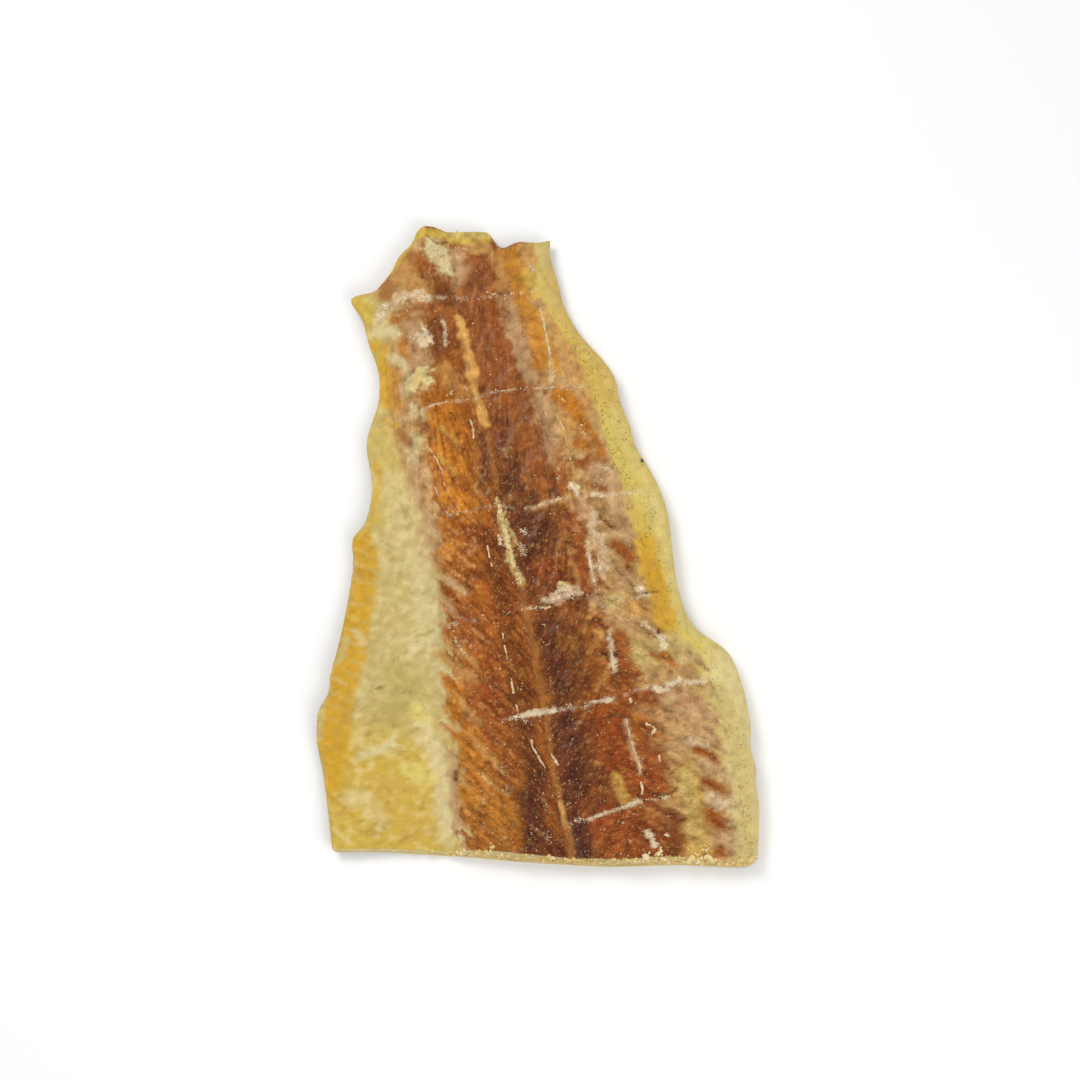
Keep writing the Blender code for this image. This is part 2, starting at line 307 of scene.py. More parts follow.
# Brush strokes over the zones: tint, width, strength and the points that it follows.
strokes = [
    ("film", 14, 0.85, [(-55, 94), (-53, 70), (-54, 50)]),
    ("film", 14, 0.85, [(-51, 50), (-49, 30), (-46, 10)]),
    ("mauve", 11, 0.9, [(-33, 113), (-30, 108), (-31, 104)]),
    ("brown", 10, 1, [(-21, 114), (-22, 105), (-27, 101)]),
    ("plum", 6, 0.4, [(-22, 110), (-25, 102)]),
    ("umber", 4, 0.7, [(-26, 103), (-23, 101)]),
    ("umber", 8, 0.6, [(-45, 104), (-38, 100)]),
    ("tan", 6, 0.85, [(-15, 113), (-14, 101)]),
    ("apricot", 10, 1, [(-10, 115), (-7, 102)]),
    ("butter", 6, 0.7, [(-3, 106), (0, 99)]),
    ("honey", 5, 0.8, [(-58, 88), (-50, 90)]),
    ("amber", 4, 0.8, [(-54, 81), (-52, 74)]),
    ("mauve", 10, 0.9, [(-48, 87), (-46, 71), (-46, 62)]),
    ("plum", 8, 0.35, [(-39, 86), (-40, 70)]),
    ("honey", 4, 0.8, [(-37, 71), (-36, 61)]),
    ("apricot", 5, 0.85, [(-57, 68), (-56, 60), (-55, 50)]),
    ("blush", 4.5, 0.9, [(-54, 71), (-53, 67)]),
    ("blush", 4, 0.9, [(-53.5, 60), (-52.5, 57)]),
    ("ivory", 4, 0.6, [(-51, 67), (-50, 58)]),
    ("brown", 15, 0.8, [(-21, 97), (-14, 65)]),
    ("umber", 3, 0.6, [(-22, 92), (-19, 72)]),
    ("tan", 9, 0.6, [(-37, 67), (-28, 58)]),
    ("rust", 2.4, 0.7, [(-17.5, 94), (-13, 68)]),
    ("film", 6, 0.8, [(-13, 95), (-10, 92)]),
    ("mauve", 7, 0.9, [(-10, 91), (-9, 83), (-7, 75), (-4, 67), (-2, 61)]),
    ("apricot", 8, 1, [(-7, 98), (-3, 90)]),
    ("apricot", 8, 1, [(-3, 90), (1, 80), (2, 71)]),
    ("brown", 2, 0.8, [(-2, 74), (1, 68)]),
    ("apricot", 4, 0.9, [(5, 79), (8, 67)]),
    ("tan", 9, 0.85, [(7, 90), (12, 76), (16, 66), (21, 55)]),
    ("film", 6, 0.85, [(-1, 58), (3, 50)]),
    ("film", 8, 0.8, [(-53, 46), (-46, 37)]),
    ("ivory", 7, 0.75, [(-48, 38), (-48, 32)]),
    ("mauve", 8, 0.85, [(-46, 27), (-45, 21)]),
    ("blush", 11, 0.85, [(-48, 15), (-43, 8), (-41, -8)]),
    ("rust", 3.5, 0.7, [(-54, 42), (-50, 37)]),
    ("ivory", 5, 0.8, [(-48, 50), (-44, 48)]),
    ("amber", 14, 1, [(-37, 49), (-34, 35), (-32, 20), (-29, 12)]),
    ("straw", 3, 0.6, [(-38, 43), (-31, 37)]),
    ("straw", 2.4, 0.5, [(-38, 32), (-32, 25)]),
    ("rust", 2.4, 0.5, [(-36, 40), (-30, 33)]),
    ("rust", 2.4, 0.5, [(-34, 25), (-28, 18)]),
    ("honey", 9, 0.6, [(-28, 50), (-26, 30), (-23, 10)]),
    ("amber", 6, 0.8, [(-36, 4), (-33, -5)]),
    ("brown", 7, 0.8, [(-22, 42), (-21, 18)]),
    ("plum", 4, 0.6, [(-21, 40), (-20, 22)]),
    ("plum", 12, 0.55, [(-15, 46), (-12, 40), (-11, 23)]),
    ("dusk", 6, 0.6, [(-10, 30), (-9, 23)]),
    ("brown", 12, 0.85, [(-4, 57), (-3, 38), (1, 22)]),
    ("rust", 6, 0.6, [(-2, 36), (-1, 23)]),
    ("moss", 8, 0.85, [(-12, 14), (-3, 11)]),
    ("mauve", 9, 0.85, [(2, 54), (5, 42), (6, 31)]),
    ("russet", 2, 0.6, [(1, 46), (3, 30)]),
    ("brown", 6, 0.7, [(8, 32), (9, 20)]),
    ("amber", 8, 1, [(9, 57), (15, 50), (17, 44)]),
    ("honey", 4.5, 0.9, [(18, 46), (22, 40), (25.5, 33)]),
    ("tan", 6, 0.85, [(12, 46), (18, 39)]),
    ("film", 6, 0.9, [(14, 34), (18, 33)]),
    ("film", 4, 0.9, [(14, 29), (20, 22)]),
    ("honey", 5, 0.9, [(16, 37), (20, 36)]),
    ("rust", 5, 0.95, [(15, 29), (20, 28)]),
    ("rust", 5, 0.95, [(21, 31), (25.5, 30)]),
    ("mauve", 9, 0.85, [(24, 27), (29, 20)]),
    ("rust", 3, 0.7, [(19, 21), (26, 19)]),
    ("plum", 16, 0.95, [(-4, 7), (1, 0), (-1, -11)]),
    ("brown", 3, 0.7, [(9, 9), (7, 1)]),
    ("moss", 2.5, 0.8, [(13, 0), (10, -10)]),
    ("rust", 5, 0.8, [(15, 10), (17, -9)]),
    ("mauve", 8, 0.8, [(17, 13), (20, 5), (24, 1), (26, -9)]),
    ("film", 5, 0.8, [(23, 5), (26, 3)]),
    ("mauve", 9, 0.85, [(29, 14), (34, 9), (34, 1)]),
    ("umber", 2, 0.9, [(24.5, 7.5), (29, 4)]),
    ("rust", 6, 1, [(31, -4), (34, -7), (36, -11)]),
    ("brown", 4, 0.7, [(37, -4), (40, -9)]),
    ("film", 4.5, 0.9, [(28, -6), (33, -11)]),
    ("russet", 15, 0.7, [(5, -14), (19, -14)]),
    ("tan", 2.4, 0.6, [(12, -4), (16, -18)]),
    ("umber", 4, 0.8, [(12, -26), (21, -24)]),
    ("film", 8, 0.85, [(26, -8), (32, -18)]),
    ("blush", 8, 0.85, [(23, -25), (28, -28)]),
    ("cream", 6, 0.85, [(28, -25), (36, -27)]),
    ("mauve", 6, 0.8, [(34, -15), (40, -20)]),
    ("tan", 9, 0.9, [(37, -27), (46, -30)]),
    ("brown", 2, 0.7, [(40, -27), (43.5, -29.5)]),
    ("film", 6, 0.85, [(28, -32), (37, -34)]),
    ("film", 8, 0.85, [(32, -37), (40, -42), (44, -54)]),
    ("cream", 12, 0.75, [(40, -46), (50, -43), (60, -41)]),
    ("rust", 7, 0.9, [(31, -40), (34, -50), (35, -59)]),
    ("honey", 8, 0.4, [(20, -38), (23, -48), (25, -60)]),
    ("tan", 2.2, 0.6, [(25, -38), (20, -46)]),
    ("tan", 2.2, 0.5, [(23, -27), (17, -37)]),
    ("tan", 2.2, 0.6, [(28, -50), (23, -60)]),
    ("umber", 12, 0.9, [(3, -30), (7, -45), (11, -60)]),
    ("plum", 7, 0.8, [(2, -36), (6, -46), (9, -58)]),
    ("honey", 4, 1, [(49, -46), (53, -50)]),
    ("honey", 3, 0.8, [(44, -46), (47, -48)]),
    ("blush", 3, 0.8, [(54, -49), (61, -46.5)]),
    ("russet", 6, 0.9, [(36, -63), (47, -62)]),
    ("mauve", 13, 0.85, [(52, -64), (67, -74)]),
    ("brown", 3, 0.5, [(52, -66), (57, -64)]),
    ("honey", 9, 0.8, [(-37, -8), (-30, -15)]),
    ("rust", 11, 0.8, [(-33, -21), (-24, -32)]),
    ("blush", 3.5, 0.75, [(-35, -16), (-28, -22)]),
    ("blush", 3.5, 0.75, [(-37, -23), (-31, -31)]),
    ("rust", 12, 0.9, [(-31, -36), (-20, -45), (-16, -53)]),
    ("tan", 3.2, 0.9, [(-36, -39), (-27, -47), (-24, -50)]),
    ("tan", 4, 0.9, [(-38, -45), (-30, -52), (-24, -57)]),
    ("amber", 5, 0.95, [(-34, -57), (-28, -61)]),
    ("russet", 12, 0.85, [(-23, -61), (-15, -68)]),
    ("amber", 7, 1, [(-32, -65), (-27, -74)]),
    ("tan", 3, 0.85, [(-29, -64), (-22, -73)]),
    ("umber", 9, 0.6, [(-16, -8), (-13, -28), (-9, -45), (-4, -62)]),
    ("rust", 13, 0.85, [(-16, -72), (-10, -86)]),
    ("tan", 3, 0.7, [(-29, -75), (-14, -90)]),
    ("tan", 3, 0.6, [(-24, -90), (-12, -100)]),
    ("amber", 7, 0.9, [(-29, -79), (-24, -93)]),
    ("honey", 15, 0.9, [(-27, -102), (-10, -113)]),
    ("apricot", 12, 0.35, [(-27, -98), (-12, -112)]),
    ("umber", 9, 0.35, [(-12, -84), (-11, -100), (-9, -122)]),
    ("plum", 9, 0.8, [(-4, -74), (0, -95)]),
    ("plum", 10, 0.85, [(0, -95), (-1, -110), (-1, -122)]),
    ("dusk", 9, 0.85, [(-4, -102), (-2, -119)]),
    ("russet", 24, 0.9, [(26, -74), (40, -92)]),
    ("plum", 15, 0.95, [(11, -74), (15, -92), (13, -104)]),
    ("honey", 5, 0.8, [(37, -72), (38, -79)]),
    ("straw", 4.5, 0.8, [(30, -93), (33, -102)]),
    ("russet", 21, 0.85, [(25, -112), (46, -120)]),
    ("dusk", 11, 0.95, [(15, -113), (17, -123)]),
    ("plum", 10, 0.85, [(2, -114), (7, -121)]),
    ("umber", 8, 0.85, [(51, -109), (52, -121)]),
    ("film", 12, 0.9, [(55, -76), (57, -90)]),
    ("straw", 12, 0.85, [(57, -92), (60, -101), (62, -122)]),
    ("cream", 8, 0.6, [(56, -92), (58, -101), (60, -116)]),
    ("frost", 5, 0.75, [(57, -79), (65, -82)]),
    ("mauve", 9, 0.95, [(65, -89), (73, -94)]),
    ("frost", 7, 0.7, [(67, -102), (74, -106)]),
    ("mauve", 7, 0.85, [(68, -117), (76, -118)]),
    ("rust", 3.6, 1, [(61, -83), (69, -86.5)]),
    ("rust", 4.5, 1, [(64, -95), (72, -99)]),
    ("rust", 8, 1, [(66, -107), (76, -113)]),
    ("russet", 5, 0.9, [(68, -108.5), (75, -112.5)]),
    ("rust", 5.5, 0.95, [(69, -121.5), (77, -123.5)]),
]
# These go over the flap, the rim and the gold strip.
lateStrokes = [
    ("brown", 8, 0.9, [(-60, 98), (-56, 105), (-50, 113)]),
    ("tan", 12, 0.8, [(-54, 107), (-47, 101)]),
    ("tan", 7, 0.9, [(-47, 122), (-40, 121)]),
    ("tan", 5, 0.9, [(-27, 118), (-20, 117)]),
    ("butter", 6, 1, [(-35, 122.2), (-19, 122.2)]),
    ("cream", 4, 0.6, [(-34, 123), (-20, 122.6)]),
    ("butter", 3.5, 0.9, [(-47.5, 124), (-52, 117), (-58, 108)]),
    ("ivory", 8, 0.9, [(-42, 118), (-37, 113), (-36, 109)]),
    ("butter", 6, 0.9, [(-48, 124), (-40, 123.5)]),
    ("shadow", 1, 0.5, [(-44, 122), (-40, 119)]),
    ("shadow", 1.4, 0.6, [(-40, 119), (-36, 119.5)]),
    ("tan", 6, 0.9, [(-5, 117), (-1, 113)]),
    ("cream", 8, 0.9, [(3, 118), (6, 105), (9, 95)]),
    # A painted shadow line along the edge of the cream band
    ("olive", 1.6, 0.6, [(1, 108), (5, 102), (9, 96)]),
    ("butter", 7, 0.9, [(-72.5, 95), (-66, 89)]),
    ("frost", 4, 0.6, [(-63.5, 86), (-61, 93), (-57, 95)]),
    ("frost", 4, 0.6, [(-55, 97), (-47, 98.5), (-42, 96)]),
    ("brown", 1.8, 0.7, [(-57, 91), (-45, 93), (-38, 96.5)]),
    ("ivory", 6, 0.8, [(-63, 84), (-56, 82)]),
    ("gold", 6, 0.8, [(-64, 77), (-60, 75), (-61, 62), (-60, 55)]),
    ("ivory", 5, 0.8, [(-57, 72), (-54, 70)]),
    ("salt", 4.5, 0.8, [(-48, 81), (-44, 78), (-43, 82)]),
    ("salt", 1.4, 0.5, [(-37.5, 87), (-36.5, 84), (-36, 77)]),
    ("crumb", 6.5, 1, [(-48.5, 60.5), (-45.5, 64.5)]),
    ("butter", 12, 0.2, [(12, 92), (20, 76), (27, 60), (34, 42), (41, 24)]),
    ("apricot", 11, 0.25, [(7, 104), (12, 90), (20, 74), (28, 56)]),
    ("cream", 10, 0.7, [(-62, 45), (-60, 30)]),
    ("butter", 12, 0.4, [(-60, 42), (-58, 8)]),
    ("gold", 4, 0.6, [(-60, 47), (-55, 45)]),
    ("gold", 3, 0.6, [(-63, 29), (-61, 24), (-63, 15), (-64, 8), (-66, 3)]),
    ("ivory", 10, 0.4, [(-57, 22), (-54, 0)]),
    ("ivory", 10, 0.5, [(-48, -8), (-44, -25), (-43, -33)]),
    ("ivory", 7, 0.7, [(-40, -38), (-48, -42)]),
    ("olive", 12, 0.7, [(-55, -55), (-49, -57), (-55, -68)]),
    ("lemon", 7, 0.8, [(-46, -67), (-42, -73)]),
    ("ivory", 9, 0.75, [(-44, -74), (-40, -82), (-37, -90), (-35, -100), (-35, -113)]),
    ("ivory", 4, 0.85, [(-68, -85), (-61, -82.5), (-56, -80)]),
    ("ivory", 8, 0.5, [(-72, -101), (-64, -102), (-60, -109)]),
    ("straw", 7, 0.8, [(-59, -95), (-48, -98)]),
    ("straw", 12, 0.4, [(-60, -103), (-50, -110), (-44, -113)]),
    ("lemon", 8, 0.8, [(-48, -91), (-42, -94)]),
    # Thin dark olive lines on the flap: painted shade in its small cracks, and at (-50, -77) a painted
    # shadow beside the bright tongue
    ("olive", 2, 0.9, [(-50, -77), (-46, -74)]),
    ("olive", 1.6, 0.8, [(-46, -38), (-43, -37.5), (-40, -36)]),
    ("olive", 1.4, 0.8, [(-56, -53), (-52, -49)]),
    ("olive", 1.6, 0.8, [(-46, -60.5), (-41, -62)]),
    ("moss", 1.4, 0.7, [(-61, -58.5), (-59.5, -58)]),
    ("olive", 1.4, 0.7, [(-58, -65), (-54, -68)]),
    ("ochre", 2, 0.5, [(-78, -101), (-70, -108)]),
    ("mauve", 4, 0.8, [(-32, -84), (-32, -95), (-31, -111)]),
    ("umber", 2.4, 0.8, [(-31, -91), (-31, -94)]),
    ("cream", 3, 0.9, [(-82, -64), (-84, -78)]),
    ("cream", 3.5, 0.9, [(-74, -40), (-77, -49)]),
    ("ivory", 4, 0.6, [(-68, -41), (-70, -37)]),
    ("butter", 8, 0.5, [(39, 8), (43, -8), (46, -20)]),
    ("gold", 9, 0.8, [(42, -3), (46, -18), (50, -34)]),
    ("ochre", 6, 0.5, [(44, -11), (45, -15), (48, -29)]),
    ("ivory", 15, 0.65, [(72, -50), (78, -70), (80, -100), (80, -120)]),
    ("cream", 9, 0.8, [(70, -62), (75, -74), (78, -88), (79, -105), (79.5, -122)]),
    ("tan", 2.8, 0.5, [(-1, 11), (4, 13), (10, 14.5), (14, 17)]),
    ("salt", 3.4, 1, [(13.6, 20.5), (15.5, 18)]),
    ("salt", 1.8, 0.7, [(21, 16.5), (26, 16.2)]),
    ("frost", 1.5, 0.4, [(26, 16.4), (32, 17.2), (40, 18)]),
    ("frost", 5, 0.45, [(22, 9), (21, 3), (24, 0), (26, -4), (25, -14)]),
    ("frost", 3, 0.5, [(3, -25.6), (9, -24.3), (15, -22.6)]),
    ("frost", 4, 0.5, [(6.5, -23.5), (9.5, -21.5), (15, -21.3)]),
    ("frost", 3, 0.4, [(8.5, -20.5), (11, -20)]),
    ("crumb", 2, 0.8, [(9, -18.6), (11, -19.6)]),
    ("salt", 1.8, 1, [(38, -20.5), (41.5, -21.3)]),
    ("salt", 1.5, 0.9, [(39, -24), (43.5, -22.9)]),
    ("salt", 1.6, 0.8, [(41, -34.6), (45, -37.2)]),
    ("umber", 1.8, 1, [(46.5, -36.2), (47, -38.6)]),
    ("salt", 3.8, 1, [(47.3, -39.3), (49, -43)]),
    ("salt", 2.6, 1, [(-5, -69.8), (-2, -69), (3, -68.4), (6.5, -67.6)]),
    ("salt", 1.5, 0.8, [(21, -64.6), (29, -64.4)]),
    ("salt", 3, 1, [(45.5, -60.2), (50, -60)]),
    ("salt", 2, 0.7, [(50, -58), (55, -56)]),
    ("frost", 2.2, 0.7, [(57, -57.5), (65, -56)]),
    ("cream", 2, 0.6, whiteLines["top"]),
    ("straw", 1.6, 0.6, whiteLines["upper"]),
    ("salt", 2, 0.8, whiteLines["middle"]),
    ("salt", 2, 0.7, whiteLines["lower"]),
    ("blush", 1.9, 0.9, whiteLines["low"]),
    ("salt", 1.6, 0.6, [(20, -109), (29, -106)]),
    ("salt", 2, 0.6, [(31, -105), (35, -104), (38, -102.5)]),
    ("salt", 2.2, 0.8, [(42, -114.5), (44.5, -119)]),
    ("strandGold", 3.4, 1, [(-31.5, 88), (-29.5, 82)]),
    ("strandGold", 4.4, 0.9, [(-29.5, 82), (-28, 77), (-27, 72), (-25.5, 66)]),
    ("strandGold", 3.4, 0.9, [(-25.5, 66), (-24.5, 60), (-23.5, 55), (-21.5, 50), (-20, 45)]),
    ("strandTan", 2.2, 0.9, [(-19, 40), (-18, 32), (-16.5, 26), (-16, 19)]),
    ("crust", 3, 0.5, [(-15.5, 15), (-14.5, 9)]),
    ("crust", 4.4, 0.55, [(-14, 8), (-13, 5), (-11, 0), (-11, -4), (-10, -8)]),
    ("crust", 3, 0.5, [(-10, -8), (-8.5, -13), (-6.5, -18.5)]),
    ("ochre", 1.6, 0.8, [(-8.5, -14), (-6, -20)]),
    ("strandTan", 3.2, 0.9, [(-6, -21), (-5, -30), (-3, -37), (-1.5, -43), (0, -53), (1.5, -61), (3, -66)]),
    ("strandTan", 2.4, 0.9, [(4, -70), (5, -80), (7, -94), (9, -103)]),
    ("strandGold", 2.2, 0.8, [(9, -103), (10.5, -109), (12, -116)]),
    ("strandTan", 3, 0.9, [(11.5, -113), (13, -123)]),
]


# The flesh: a finer copy of the solid, in four zones

fleshBody = {
    "levels": 2,
    "flakePitch": 10.5,
    "flakeHeight": 0.24,
    "fibreHeight": 0.10,
    "dentDepth": 0.35,
    "creaseDepth": 0.36,
    "stripPitch": 5.4,
    "stripHeight": 0.5,
    "cordHeight": 0.45,
    "crackDepth": 0.6,
    "ringHeight": 0.35,
    "crustHeight": 1.3,
    "flapLumps": 0.34,
    "fleshLumps": 0.26,
    "sawCrumble": 0.5,
    "skinRoom": 0.35,
}


def makeFlesh():
    piece = copyOfFish("fishFlesh")
    # The sides smooth better as quads. The underside, which the skin hides, needs few faces.
    mergeIntoQuads(piece, faceNormals(piece)[:, 2] < 0.65)
    hidden = faceNormals(piece)[:, 2] < -0.8
    editFaces(piece, hidden, bpy.ops.mesh.dissolve_limited, angle_limit=math.radians(3))
    applyModifier(piece, "SUBSURF", levels=fleshBody["levels"], render_levels=fleshBody["levels"])
    return piece


def flakeLines(x, y):
    # Right of the middle line the flakes rise ever steeper and turn down under the rim. Towards the
    # torn end they run nearly along the fish.
    aside = x - xOn("middle", y)
    near = np.minimum(np.abs(aside), 24)
    far = np.abs(aside) - near
    steep = 1 + 2.5 * ease(y, 5, 75)
    right = y - steep * (0.35 * near + 0.05 * near**2) + 0.65 * far
    left = y - steep * np.abs(aside) - 4.8 * (1 - np.exp(-np.abs(aside) / 4))
    return np.where(aside > 0, right, left), np.abs(aside)


def surveyOf(piece):
    places = readVerts(piece) / mm
    normals = readVerts(piece, "normal")
    x, y = places[:, 0], places[:, 1]
    edges = [xOn(name, y) for name in lineOrder]
    across = np.zeros(len(x))
    for low, high in zip(edges, edges[1:]):
        across += np.clip((x - low) / (high - low), 0, 1)
    flake, along = flakeLines(x, y)
    waver, drift = noiseAt(places, 6, 1, 3), noiseAt(places, 7, 9, 3)
    phase = (flake + 2.2 * waver) / fleshBody["flakePitch"] % 1
    grain = np.stack([flake, along, 0 * x], -1)
    return {
        "places": places, "normals": normals, "x": x, "y": y, "across": across, "grain": grain,
        "fromBelly": x - edges[0], "phase": phase, "strand": bump(np.minimum(phase, 1 - phase), 0.1),
        "top": ease(normals[:, 2], 0.25, 0.7),
        "sawn": ease(-normals[:, 1], 0.6, 0.85) * (y < -112),
        "waver": waver, "drift": drift, "cloud": noiseAt(places, 14, 11, 3),
        "lump": noiseAt(places, 3.2, 12, 2), "ripple": noiseAt(places, 1.8, 2, 3),
        "shiver": noiseAt(places, 1.3, 10, 2), "fibre": noiseAt(grain / [1.2, 4, 1], 1, 3, 2),
        "band": noiseAt(grain / [3.2, 7, 1], 1, 13, 3),
    }


def brushMask(s, line, width, crusty):
    # How much of a stroke lies on each corner of the flesh. Broad strokes wander, narrow ones keep
    # to their line, and crusts end more sharply.
    loose = min(1, width / 6)
    fringe = 0.3 * s["fibre"] + 0.5 * s["ripple"] + 0.25 * s["shiver"] + 0.5 * s["lump"]
    gap = gapTo(line, s["x"] + 1.6 * loose * s["waver"], s["y"] + 1.6 * loose * s["drift"])
    nearness = 1 - gap / (0.75 * width)
    if crusty:
        return ease(nearness + (0.4 + 0.4 * loose) * fringe, 0.3, 0.58)
    return ease(nearness + (0.12 + 0.2 * loose) * fringe, 0.1, 0.75)


def paintFlesh(s):
    x, y, across = s["x"], s["y"], s["across"]
    waver, drift, cloud, lump = s["waver"], s["drift"], s["cloud"], s["lump"]
    ripple, shiver, fibre = s["ripple"], s["shiver"], s["fibre"]
    saw = (s["phase"] - 0.5) * 0.19 * (1 - ease(y, 0, 40))
    ragged = across + 0.08 * waver + 0.03 * fibre + 0.06 * ripple + saw
    colour = np.tile(tints["honey"], (len(x), 1))

    def over(mask, name):
        mask = np.clip(mask, 0, 1)[:, None]
        colour[:] = colour * (1 - mask) + tints[name] * mask

    low, high = 1 - ease(y, -90, -60), ease(y, 55, 90)
    middle = (1 - low) * (1 - ease(y, 5, 30))
    over(0.85 * middle * ease(ragged, 1.1, 1.5), "rust")
    over(0.7 * ease(ragged, 1.5, 1.95), "rust")
    over(0.7 * high * ease(ragged, 1.15, 1.4), "brown")
    over(ease(ragged, 1.85, 2.05), "brown")
    over(0.75 * ease(ragged, 1.88, 2.08) * (1 - ease(ragged, 2.3, 2.6)) * (1 - ease(y, 15, 50)), "umber")
    over(0.5 * ease(cloud + 0.5 * waver, 0.0, 0.5) * ease(ragged, 1.1, 1.3), "honey")
    over(0.5 * ease(-cloud + 0.6 * drift, 0.05, 0.5) * ease(ragged, 1.3, 1.7), "umber")
    over(0.92 * ease(ragged, 2.5, 2.68), "film")
    over(1 - ease(ragged, 0.98, 1.17), "film")
    over((1 - ease(ragged, 0.93, 1.06)) * (1 - ease(y, -5, 25)), "veil")

    crust = np.zeros(len(x))
    dull = np.clip(1 - ease(ragged, 0.9, 1.15) + ease(ragged, 2.5, 2.9), 0, 1)

    def paintStrokes(chosen):
        for name, width, strength, line in chosen:
            mask = strength * brushMask(s, line, width, name in crustyTints)
            over(mask, name)
            crust[:] = np.maximum(crust, mask * (name in crustyTints))
            dull[:] = np.maximum(dull, mask * (name in dullTints))

    paintStrokes(strokes)
    inFlesh = ease(ragged, 1.0, 1.12) * (1 - ease(ragged, 2.95, 3.05))
    broken = ease(waver + 0.7 * shiver, -0.25, 0.35) * inFlesh * (1 - ease(y, 10, 45))
    twice = 2 * s["phase"] % 1
    strand = np.maximum(s["strand"], 0.7 * bump(np.minimum(twice, 1 - twice), 0.13))
    over(0.7 * broken * (1 - ease(across, 1.4, 1.8)) * strand, "tan")
    over(0.3 * broken * ease(across, 2.1, 2.25) * (1 - ease(across, 2.5, 2.6)) * strand, "straw")
    fleck = bump(s["phase"] - 0.5, 0.17) * ease(across, 2.5, 2.65) * (1 - ease(across, 2.9, 3.0))
    over(0.4 * fleck * ease(drift, -0.3, 0.3) * (1 - ease(y, 10, 40)), "umber")

    # Fibres: the lighter ones turn yellower, the darker ones redder.
    streak = 0.5 * ease(s["band"], -0.35, 0.35) - 0.25 + 0.25 * (fibre + shiver + s["ripple"])
    fade = (1 - 0.65 * dull) * (1 - 0.5 * ease(y, 35, 70))
    lift = np.clip(1 + 0.95 * inFlesh * fade * streak, 0.4, 1.8)
    colour *= lift[:, None] ** np.array([1, 1.25, 1.5])
    warmed = (inFlesh * (1 - 0.8 * dull))[:, None]
    colour *= 1 - warmed * np.array([0.01, 0.115, 0.28])
    colour *= 1 - warmed * ease(ragged, 1.8, 2.1)[:, None] * np.array([0.02, 0.07, 0.05])
    over(0.3 * inFlesh * ease(fibre + 0.8 * shiver, 0.4, 0.8), "tan")

    over(1 - ease(ragged, 0.72, 0.98), "cream")
    over(0.5 * (1 - ease(ragged, 0.62, 0.98)) * ease(cloud + 0.5 * waver, -0.1, 0.5), "veil")
    over((1 - ease(ragged, 0.8, 1.0)) * low, "butter")
    over(0.4 * (1 - ease(ragged, 0.7, 1.0)) * low * ease(drift, -0.1, 0.5), "straw")
    over(ease(ragged, 2.93, 3.15), "rim")
    over(0.35 * ease(ragged, 3.2, 3.7), "ivory")
    strip = ease(xOn("strip", y) - x + 1.1 * waver, -1.8, 1.8) * ease(y, -106, -97) * (1 - ease(y, 0, 5))
    over(0.95 * strip, "gold")
    ribs = ease(np.sin(2 * math.pi * (y + 0.45 * x + 1.2 * waver) / fleshBody["stripPitch"]), -0.1, 0.8)
    ribbed = strip * (0.25 + 0.75 * ease(y, -75, -55))
    # Cream on the crests of the ribs and ochre in their troughs: painted light and shade that follow the
    # ribs of the relief
    over(0.55 * ribbed * ribs * ease(drift + ripple, -0.6, 0.2), "cream")
    over(0.6 * ribbed * (1 - ribs) * ease(drift + 0.6 * ripple, -0.2, 0.5), "ochre")
    over(0.7 * (1 - ease(s["fromBelly"] + waver, 0.4, 2)) * ease(cloud, -0.3, 0.2), "cream")
    over(0.55 * (1 - ease(s["fromBelly"], 1.5, 4.5)) * ease(y, 10, 60), "butter")
    inFlap = 1 - ease(ragged, 0.9, 1.05)
    over(0.4 * inFlap * (1 - strip) * ease(lump, 0, 0.45), "ivory")
    over(0.25 * inFlap * ease(-lump, 0.05, 0.5) * ease(cloud, -0.4, 0.3), "olive")
    paintStrokes(lateStrokes)
    # Ivory on the raised bits of the crusts and ochre in their hollows: painted light and painted shade
    over(0.6 * crust * ease(ripple, 0.05, 0.35), "ivory")
    over(0.4 * crust * ease(-ripple - 0.5 * shiver, 0.05, 0.35), "ochre")
    colour *= (1 + (0.14 + 0.21 * inFlesh) * lump)[:, None] ** np.array([1, 1.1, 1.2])

    # Painted shade along the creases of the flap
    creaseShade = creasesOf(s) * (1 - ease(across, 0.8, 1.0)) * ease(s["fromBelly"], 9, 13)
    over(0.3 * ease(drift, -0.2, 0.4) * creaseShade, "shadow")
    for strength, dent in rackLines:
        gap = gapTo(dent, x + 0.8 * ripple, y + 0.9 * ripple)
        mask = strength * bump(gap, 0.65) * ease(ripple + 0.9 * waver, -0.1, 0.45)
        over(mask, "salt")
        over(0.4 * strength * bump(gap + 0.9, 0.8) * (1 - ease(across, 0.9, 1.1)), "shadow")
        crust = np.maximum(crust, 0.6 * mask)
    for ringX, ringY, radius in bubbleRings:
        gap = np.hypot(x - ringX, y - ringY) - radius
        over(0.7 * bump(gap, 0.45) * ease(ripple + drift, -0.3, 0.2), "film")
    for crack in crackLines.values():
        gap = gapTo(smoothLine(crack), x + 0.6 * ripple, y)
        over(0.6 * bump(gap, 0.45) * ease(ripple, -0.7, 0.1), "shadow")
    # The sawn face is painted ivory: its pale crumbly colour, lightened further as painted light where the
    # face turns away from the lamps
    over(0.9 * s["sawn"], "ivory")
    s["crust"], s["dull"], s["inFlesh"] = crust, dull, inFlesh
    return colour


def creasesOf(s):
    flat = np.stack([s["x"], 0.7 * s["y"], 0 * s["x"]], -1)
    return np.clip(1 - 5 * np.abs(noiseAt(flat, 9, 4, 4)), 0, 1) ** 2


